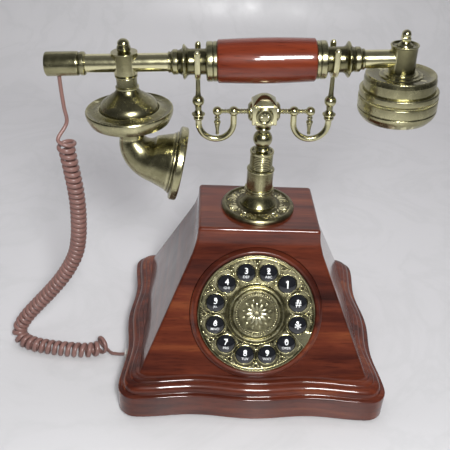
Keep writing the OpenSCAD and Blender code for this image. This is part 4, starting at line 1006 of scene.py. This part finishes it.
def saddle_data(saddle_r, thick, width, rise):
    """The open saddle of a fork, a U of rounded section, open along +Z, its width along X."""
    mid = saddle_r + thick / 2
    line = [Vector((0, -mid, rise))] + [Vector((0, *polar(-mid, a))) for a in range(0, 181, 9)]
    line += [Vector((0, mid, rise))]
    verts, n = [], 16
    for i, p in enumerate(line):
        t = (line[min(i + 1, len(line) - 1)] - line[max(i - 1, 0)]).normalized()
        out = Vector((1, 0, 0)).cross(t).normalized()
        for j in range(n):
            a = 2 * math.pi * j / n
            c, s = math.cos(a), math.sin(a)
            u = math.copysign(abs(c) ** 0.5, c) * width / 2
            w = math.copysign(abs(s) ** 0.5, s) * thick / 2
            verts.append(tuple(p + Vector((1, 0, 0)) * u + out * w))
    return verts, capped(len(line), n)


def make_fork(side, name):
    lean = math.radians(HAND_LEAN - CRADLE_LEAN)
    h, c = HAND_Z - COLUMN_TOP, math.radians(CRADLE_LEAN)
    seat = COLUMN_TOP + h * math.cos(c) + side * FORK_X * math.tan(lean) - h * math.sin(c) * math.tan(lean)
    foot, bulb, saddle_r = ARM_Z - 6, ARM_Z + 7.5, 8.8
    stem_top = seat - saddle_r - 1.8
    stem = moved([(0, 0), (3, 0), (3.5, 0.8), (3.5, 1.6), (2.8, 2.2), (3.4, 2.7), (4.6, 3.6), (4.6, 4.4), (3, 5.2), (2.1, 7)],
        0, foot)
    stem += [(2.4, bulb - 3.8)]
    stem += arc(0, bulb, 4.1, -50, 62, 10) + [(1.6, bulb + 7), (1.5, stem_top), (0, stem_top)]
    at = shift(side * FORK_X, 0, 0)
    parts = [(lathe_data(stem, 48, 0.25), at), (saddle_data(saddle_r, 3, 4, 8.5), at @ shift(0, 0, seat))]
    for edge in (-1, 1):
        parts.append((sphere_data(1.85, 10, 20), at @ shift(0, edge * (saddle_r + 1.5), seat + 8.5)))
    assembled(name, parts, brass_main, "cradle", CRADLE)


make_baluster()
make_block()
make_arm(-1, "arm_left")
make_arm(1, "arm_right")
make_fork(-1, "fork_left")
make_fork(1, "fork_right")

# ---------------------------------------------------------------- handset

TUBE_R, BORE_R, NECK_R = 6.0, 6.05, 8.4
GRIP_START, GRIP_END = -34.45, 30.05
X_AXIS = HAND @ ALONG


def make_grip():
    end_r, length = 14.0, GRIP_END - GRIP_START
    swell = [(end_r + 0.8 * math.sin(math.pi * i / 14), GRIP_START + 0.9 + (length - 1.8) * i / 14) for i in range(15)]
    profile = [(BORE_R, GRIP_START), (end_r - 1.2, GRIP_START),
        (end_r - 0.4, GRIP_START + 0.3)] + swell + [(end_r - 0.4, GRIP_END - 0.3), (end_r - 1.2, GRIP_END), (BORE_R, GRIP_END)]
    turned("grip", profile, wood_grip, "handset", X_AXIS, slot="wood_grip")


def ferrule(collar_r, crest_r):
    c, n = 7.2, 11.0  # lengths of the collar and of the neck
    collar = [(-0.3, 0), (0, 0.4), (0, 2.2), (-0.35, 2.6), (-0.35, 2.9), (0, 3.3), (0, c - 0.9), (-0.5, c - 0.3), (-1.0, c)]
    out = [(BORE_R, 0)] + moved(collar, collar_r, 0) + [(NECK_R + 0.6, c + 0.1), (NECK_R, c + 0.5), (NECK_R, c + n - 0.6)]
    out += [(p[1], p[0]) for p in arc(c + n - 0.6, crest_r, crest_r - NECK_R, -90, -20, 8)]
    out += [(crest_r + 0.3, c + n + 3.4), (crest_r, c + n + 4.0), (crest_r - 1, c + n + 4.4)]
    out += [(p[1], p[0]) for p in arc(c + n + 6.6, crest_r - 0.9, 2.3, 200, 250, 5)]
    out += moved([(1.6, 7.2), (2.2, 8), (2.2, 10.6), (1.2, 11.6), (0.6, 12.2), (1, 13.4), (0.5, 14)], TUBE_R, c + n)
    out.append((BORE_R, c + n + 14))
    return out


def make_handset():
    make_grip()
    mouth = [(r, GRIP_START - s) for r, s in ferrule(13.0, 11.2)]
    ear = [(r, GRIP_END + s) for r, s in ferrule(12.5, 11.6)]
    turned("mouth_ferrule", mouth, brass_main, "handset", X_AXIS)
    turned("ear_ferrule", ear, brass_main, "handset", X_AXIS)
    end, start, r = -147.0, -124.5, 7.9
    cap = [(0, end)] + moved([(-0.9, 0), (-0.2, 0.5), (0, 1.2)], r, end)
    cap += moved([(0, -1.6), (-0.2, -0.9), (-0.9, -0.5), (-0.9, 0), (-0.5, 0.3), (-0.2, 1), (-0.2, 3), (-1, 3.8)], r, start)
    cap += [(BORE_R, start + 3.8), (BORE_R, start - 8.2), (r - 1.5, start - 8.2), (r - 1.5, end + 1.5), (0, end + 1.5)]
    piece = turned("end_cap", cap, brass_streaked, "handset", X_AXIS, closed=False)
    cut(piece, [drum_cutter(1.8, -16, 0, HAND @ shift(end + 8.1, 0, 0), 32)])
    boss = [
        (0, -9.6), (6.8, -9.6), (7.6, -9.2), (7.6, -8.4), (7, -8), (7.9, -7), (7.9, 6.4), (8.8, 6.7), (8.8, 7.5), (0, 7.6),
    ]
    at_mouth, at_ear = HAND @ shift(-MOUTH_X, 0, 0), HAND @ shift(EAR_X, 0, 0)
    piece = turned("mouth_boss", boss, brass_main, "handset", at_mouth, closed=False)
    cut(piece, [drum_cutter(BORE_R, -20, 20, at_mouth @ ALONG, 48)])
    knob = [(0, 0), (3.6, 0), (4.4, 0.8), (4.7, 2), (4.5, 3.2), (3.9, 4), (3.5, 4.3), (3.9, 4.7)] + [(x, y * 0.9 + 0.49) for x,
        y in arc(0, 4.9, 4, 0, 90, 10)]
    knob[-1] = (0, knob[-1][1])
    turned("mouth_knob", knob, brass_main, "handset", at_mouth @ shift(0, 0, 7.6), 48, closed=False)
    b = 30.0  # the bell's radius
    bell = [(6.9, -9.6), (6.9, -15.4), (7.9, -15.9), (7.9, -17.1), (7.3, -17.5)] + arc(14.5, -15.2, 7.4, 200, 235,
        6) + arc(12.7, -31.8, 7.2, 55, 2, 9)
    bell += [
        (0.66 * b, -32.1), (0.69 * b, -31.4), (0.73 * b, -31.9), (0.80 * b, -32.75), (0.87 * b, -32.95), (0.93 * b, -32.4),
        (0.965 * b, -31.7), (0.985 * b, -31.75),
        (b, -32.6), (b, -34.0), (b - 0.4, -36), (b - 1.6, -38.6), (b - 2.6, -40.6), (b - 3.2, -41), (5, -41), (5, -39.7),
        (b - 4.6, -39.7),
        (b - 2, -36), (b - 2.2, -34.2), (0.72 * b, -34.2), (0.6 * b, -33.2), (9, -25), (5.6, -20.4), (5.6, -9.6),
    ]
    turned("bell", bell, brass_streaked, "handset", at_mouth, 128, 0.35)
    make_horn(at_mouth)
    boss = [
        (0, -9.6), (9.6, -9.6), (9.6, -9.2), (8.8, -8.6), (8.6, 0), (8.8, 7.4), (9.0, 8.3), (9.3, 8.8), (9.4, 9.3), (9.0, 9.7),
        (8.4, 9.7), (7.4, 8.5), (0, 8.5),
    ]
    piece = turned("ear_boss", boss, brass_main, "handset", at_ear, closed=False)
    cut(piece, [drum_cutter(BORE_R, -20, 4.2, at_ear @ ALONG, 48)])
    nut = [
        (lathe_data([(0, 0), (5.4, 0), (5, 1), (3.2, 2.2), (2.8, 3.2), (0, 3.2)], 48, 0.25), WORLD),
        (block_data((5.6, 5.6, 3.2), 0.45), shift(0, 0, 4.6)),
        (lathe_data([(0, 6.1), (2.4, 6.1)] + [(max(x, 0), y + 6.2) for x, y in arc(0, 1.4, 3.1, -20, 90, 9)], 32, 0.15), WORLD),
    ]
    assembled("ear_knob", nut, brass_main, "handset", at_ear @ shift(0, 0, 8.5))
    make_ear(at_ear)


HORN_TURN = math.radians(76)
HORN_BEND = 18 * HORN_TURN
HORN_L = HORN_BEND + 13


def horn_at(l):
    a = min(l / HORN_BEND, 1) * HORN_TURN
    extra = max(l - HORN_BEND, 0)
    return 18 * (1 - math.cos(a)) + extra * math.sin(a), -53 - 18 * math.sin(a) - extra * math.cos(a), a


def make_horn(at_mouth):
    def rings(less, start, end):
        rows = []
        for i in range(31):
            l = start + (end - start) * i / 30
            x, z, a = horn_at(l)
            r = 8.6 + 12.4 * max(l, 0) / HORN_L - less
            rows += [(x + r * math.cos(t) * math.cos(a), r * math.sin(t),
                z + r * math.cos(t) * math.sin(a)) for t in [2 * math.pi * j / 64 for j in range(64)]]
        return rows

    outer, inner = rings(0, -0.8, HORN_L), rings(1.4, -0.8, HORN_L)
    n = 31 * 64
    faces = grid_faces(31, 64) + [tuple(n + i for i in reversed(f)) for f in grid_faces(31, 64)]
    for row in (0, 30):
        for j in range(64):
            k = (j + 1) % 64
            a, b = row * 64 + j, row * 64 + k
            faces.append((a, b, n + b, n + a) if row else (b, a, n + a, n + b))
    collar = [(5.4, -41), (9.8, -41), (9.8, -45.2), (9.6, -46.2), (9.3, -48), (9.1, -51.6), (9.1, -52.1), (9.0, -52.6),
        (8.8, -53), (5.4, -53)]
    x, z, a = horn_at(HORN_L)
    lip = shift(x, 0, z) @ Matrix.Rotation(math.pi - a, 4, "Y")
    g, w, rim = 19.55, 21.0, 26.6  # radii of the grille, the mouth and the rim
    edge = [(g + 0.05, 0.6)] + moved([(-1.9, 0.6), (-1.9, -1.2), (0.3, -1.2), (0.4, 0.2), (1.4, 0.7), (1.4, 1.8)], w, 0)
    edge += moved([(-1, 2.4), (0, 3.2), (0, 6.6), (-0.4, 7.5), (-1.3, 8), (-3.2, 8)], rim, 0)
    edge += moved([(1.2, 6.8), (0.35, 6), (0.05, 5)], g, 0)
    parts = [((outer + inner, faces), WORLD), (lathe_data(collar, 64, 0.35, True), WORLD),
        (lathe_data(edge, 96, 0.4, True), lip)]
    assembled("horn", parts, brass_streaked, "handset", at_mouth)


def make_ear(at_ear):
    d, c = 24.1, 26.7  # radii of the drum and of the cap
    shell = [
        (3.2, -9.6), (11.2, -9.6), (12.2, -10.4), (14.2, -10.4), (15.0, -11.2), (d - 5, -10.8), (d - 2.2, -9.8),
        (d - 1.3, -9.6), (d - 0.6, -10.0),
        (d - 0.4, -11.6), (d, -13), (d, -24.5), (d - 1.6, -24.5), (d - 1.6, -12.8), (13.8, -12.8), (3.2, -12),
    ]
    turned("ear_shell", shell, brass_streaked, "handset", at_ear, 128, 0.35)
    top, low = -19.8, -41.6
    cap = [(d + 0.05, top)] + moved([
        (-0.9, 0), (-0.2, -0.8), (-0.2, -4.2), (-0.8, -4.6), (-0.8, -6.2), (0, -6.6), (0, -12.6), (-0.4, -12.9), (-0.4, -13.4),
        (0, -13.7),
    ], c, top)
    cap += moved([(-0.2, 6.2), (-1.2, 4), (-3.6, 1), (-6, 0), (-8.4, 0.4)], c, low)
    cap += [(8, low + 4), (0, low + 4.4), (0, low + 6.4), (8, low + 6), (c - 8, low + 2.6), (c - 4, low + 4), (d - 1.4, -24.5),
        (d + 0.05, -24.5)]
    piece = turned("ear_cap", cap, brass_streaked, "handset", at_ear, 128, 0.4)
    holes = [(0, 0)] + [(4.4, 60 * i) for i in range(6)]
    cut(piece, [drum_cutter(1.3, low - 2, low + 8, at_ear @ turn(a, "Z") @ shift(x, 0, 0), 16) for x, a in holes])
    row = [(sphere_data(0.82, 6, 10), turn(4 * i, "Z") @ shift(c - 0.75, 0, top - 5.4)) for i in range(90)]
    finish_mesh("ear_cap_beads", *joined(row), brass_main, "handset", "antique_brass", at_ear)


make_handset()

# ---------------------------------------------------------------- finishes of the CAD nodes that stay

KEPT = {
    "bottom_plate": steel, "bottom_screws": steel, "column_nut": steel, "plunger": brass_main, "core_tube": brass_main,
    "mouth_grille": brass_main, "felt_pads": felt, "main_board": laminate, "keypad_board": laminate,
    "keypad_membrane": silicone,
    "ringer": moulded, "modular_jacks": moulded, "dial_housing": moulded, "hook_switch": moulded, "microphone": moulded,
    "receiver": moulded, "cord_plug": clear,
}
for node, material in KEPT.items():
    data = frame["nodes"][node].data
    data.materials.clear()
    data.materials.append(material)

# ---------------------------------------------------------------- studio


def make_stage():
    look = Look("floor")
    veins = look.noise(7, 6, 0.6, distortion=1.6)
    line = look.math("ABSOLUTE", look.math("SUBTRACT", veins, 0.5))
    grey = look.ramp(line, [(0.0, (0.575, 0.575, 0.583)), (0.06, (0.60, 0.598, 0.608)), (0.25, (0.605, 0.602, 0.613))])
    look.to(Base_Color=grey, Roughness=look.ramp(look.noise(30), [(0.3, 0.30), (0.7, 0.42)]))
    look.to(Normal=look.bump(look.noise(400), 0.03, 0.0005))
    verts, faces = [], []
    sweep = [polar(0.16, a) for a in range(15, 91, 15)]
    rows = [(-1.6, 0.0), (0.50, 0.0)] + [(0.50 + s, 0.16 - c) for c, s in sweep] + [(0.66, 1.6)]
    for y, z in rows:
        verts += [(-2.2, y, z), (2.2, y, z)]
    for i in range(len(rows) - 1):
        faces.append((2 * i, 2 * i + 1, 2 * i + 3, 2 * i + 2))
    mesh = bpy.data.meshes.new("floor")
    mesh.from_pydata(verts, [], faces)
    mesh.materials.append(look.mat)
    mesh.polygons.foreach_set("use_smooth", [True] * len(mesh.polygons))
    in_scene("floor", mesh)


def area(name, place, aim, size, power, colour=(1, 1, 1), glossy=True):
    data = bpy.data.lights.new(name, "AREA")
    data.shape, data.size, data.size_y, data.energy, data.color = "RECTANGLE", size[0], size[1], power, colour
    light = in_scene(name, data)
    light.location = place
    light.visible_glossy = glossy
    light.rotation_euler = (Vector(aim) - Vector(place)).to_track_quat("-Z", "Y").to_euler()


make_stage()
area("key", (0.12, -0.74, 0.74), (0, 0.05, 0.12), (0.22, 0.22), 7.8)
area("flash", (0.03, -0.50, 0.50), (0, 0, 0.12), (0.08, 0.08), 1.3)
area("overhead", (-0.25, -0.15, 1.35), (0, 0, 0.1), (0.9, 0.7), 3.0, glossy=False)
area("fill_left", (-1.2, -0.1, 0.7), (0, 0, 0.1), (0.4, 0.9), 1.2, glossy=False)
area("fill_right", (1.2, 0.1, 0.8), (0, 0, 0.1), (0.4, 0.9), 1.0, glossy=False)
area("wall_wash", (0, 0.25, 1.0), (0, 0.70, 0.25), (1.2, 0.2), 2.9, (1.0, 0.96, 1.0), glossy=False)

world = bpy.data.worlds.new("world")
world.use_nodes = True
tree = world.node_tree
tree.nodes.clear()


kinds = ("TexCoord", "SeparateXYZ", "Math", "Math", "Math", "ValToRGB", "Background", "OutputWorld")
surroundings, split, ahead, above, both, ramp, background, out = (tree.nodes.new("ShaderNode" + kind) for kind in kinds)
ahead.operation = above.operation = "MULTIPLY_ADD"
ahead.inputs[1].default_value, ahead.inputs[2].default_value = 0.42, 0.42
above.inputs[1].default_value, above.inputs[2].default_value = 0.16, 0.0
both.operation = "ADD"
tree.links.new(surroundings.outputs["Generated"], split.inputs[0])
tree.links.new(split.outputs["Y"], ahead.inputs[0])
tree.links.new(split.outputs["Z"], above.inputs[0])
tree.links.new(ahead.outputs[0], both.inputs[0])
tree.links.new(above.outputs[0], both.inputs[1])
tree.links.new(both.outputs[0], ramp.inputs[0])
ramp.color_ramp.elements[0].position, ramp.color_ramp.elements[0].color = 0.40, (0.17, 0.17, 0.175, 1)
ramp.color_ramp.elements[1].position, ramp.color_ramp.elements[1].color = 0.90, (0.80, 0.79, 0.86, 1)
tree.links.new(ramp.outputs[0], background.inputs[0])
background.inputs[1].default_value = 0.30
tree.links.new(background.outputs[0], out.inputs[0])
bpy.context.scene.world = world
bpy.context.scene.view_settings.view_transform = "Standard"
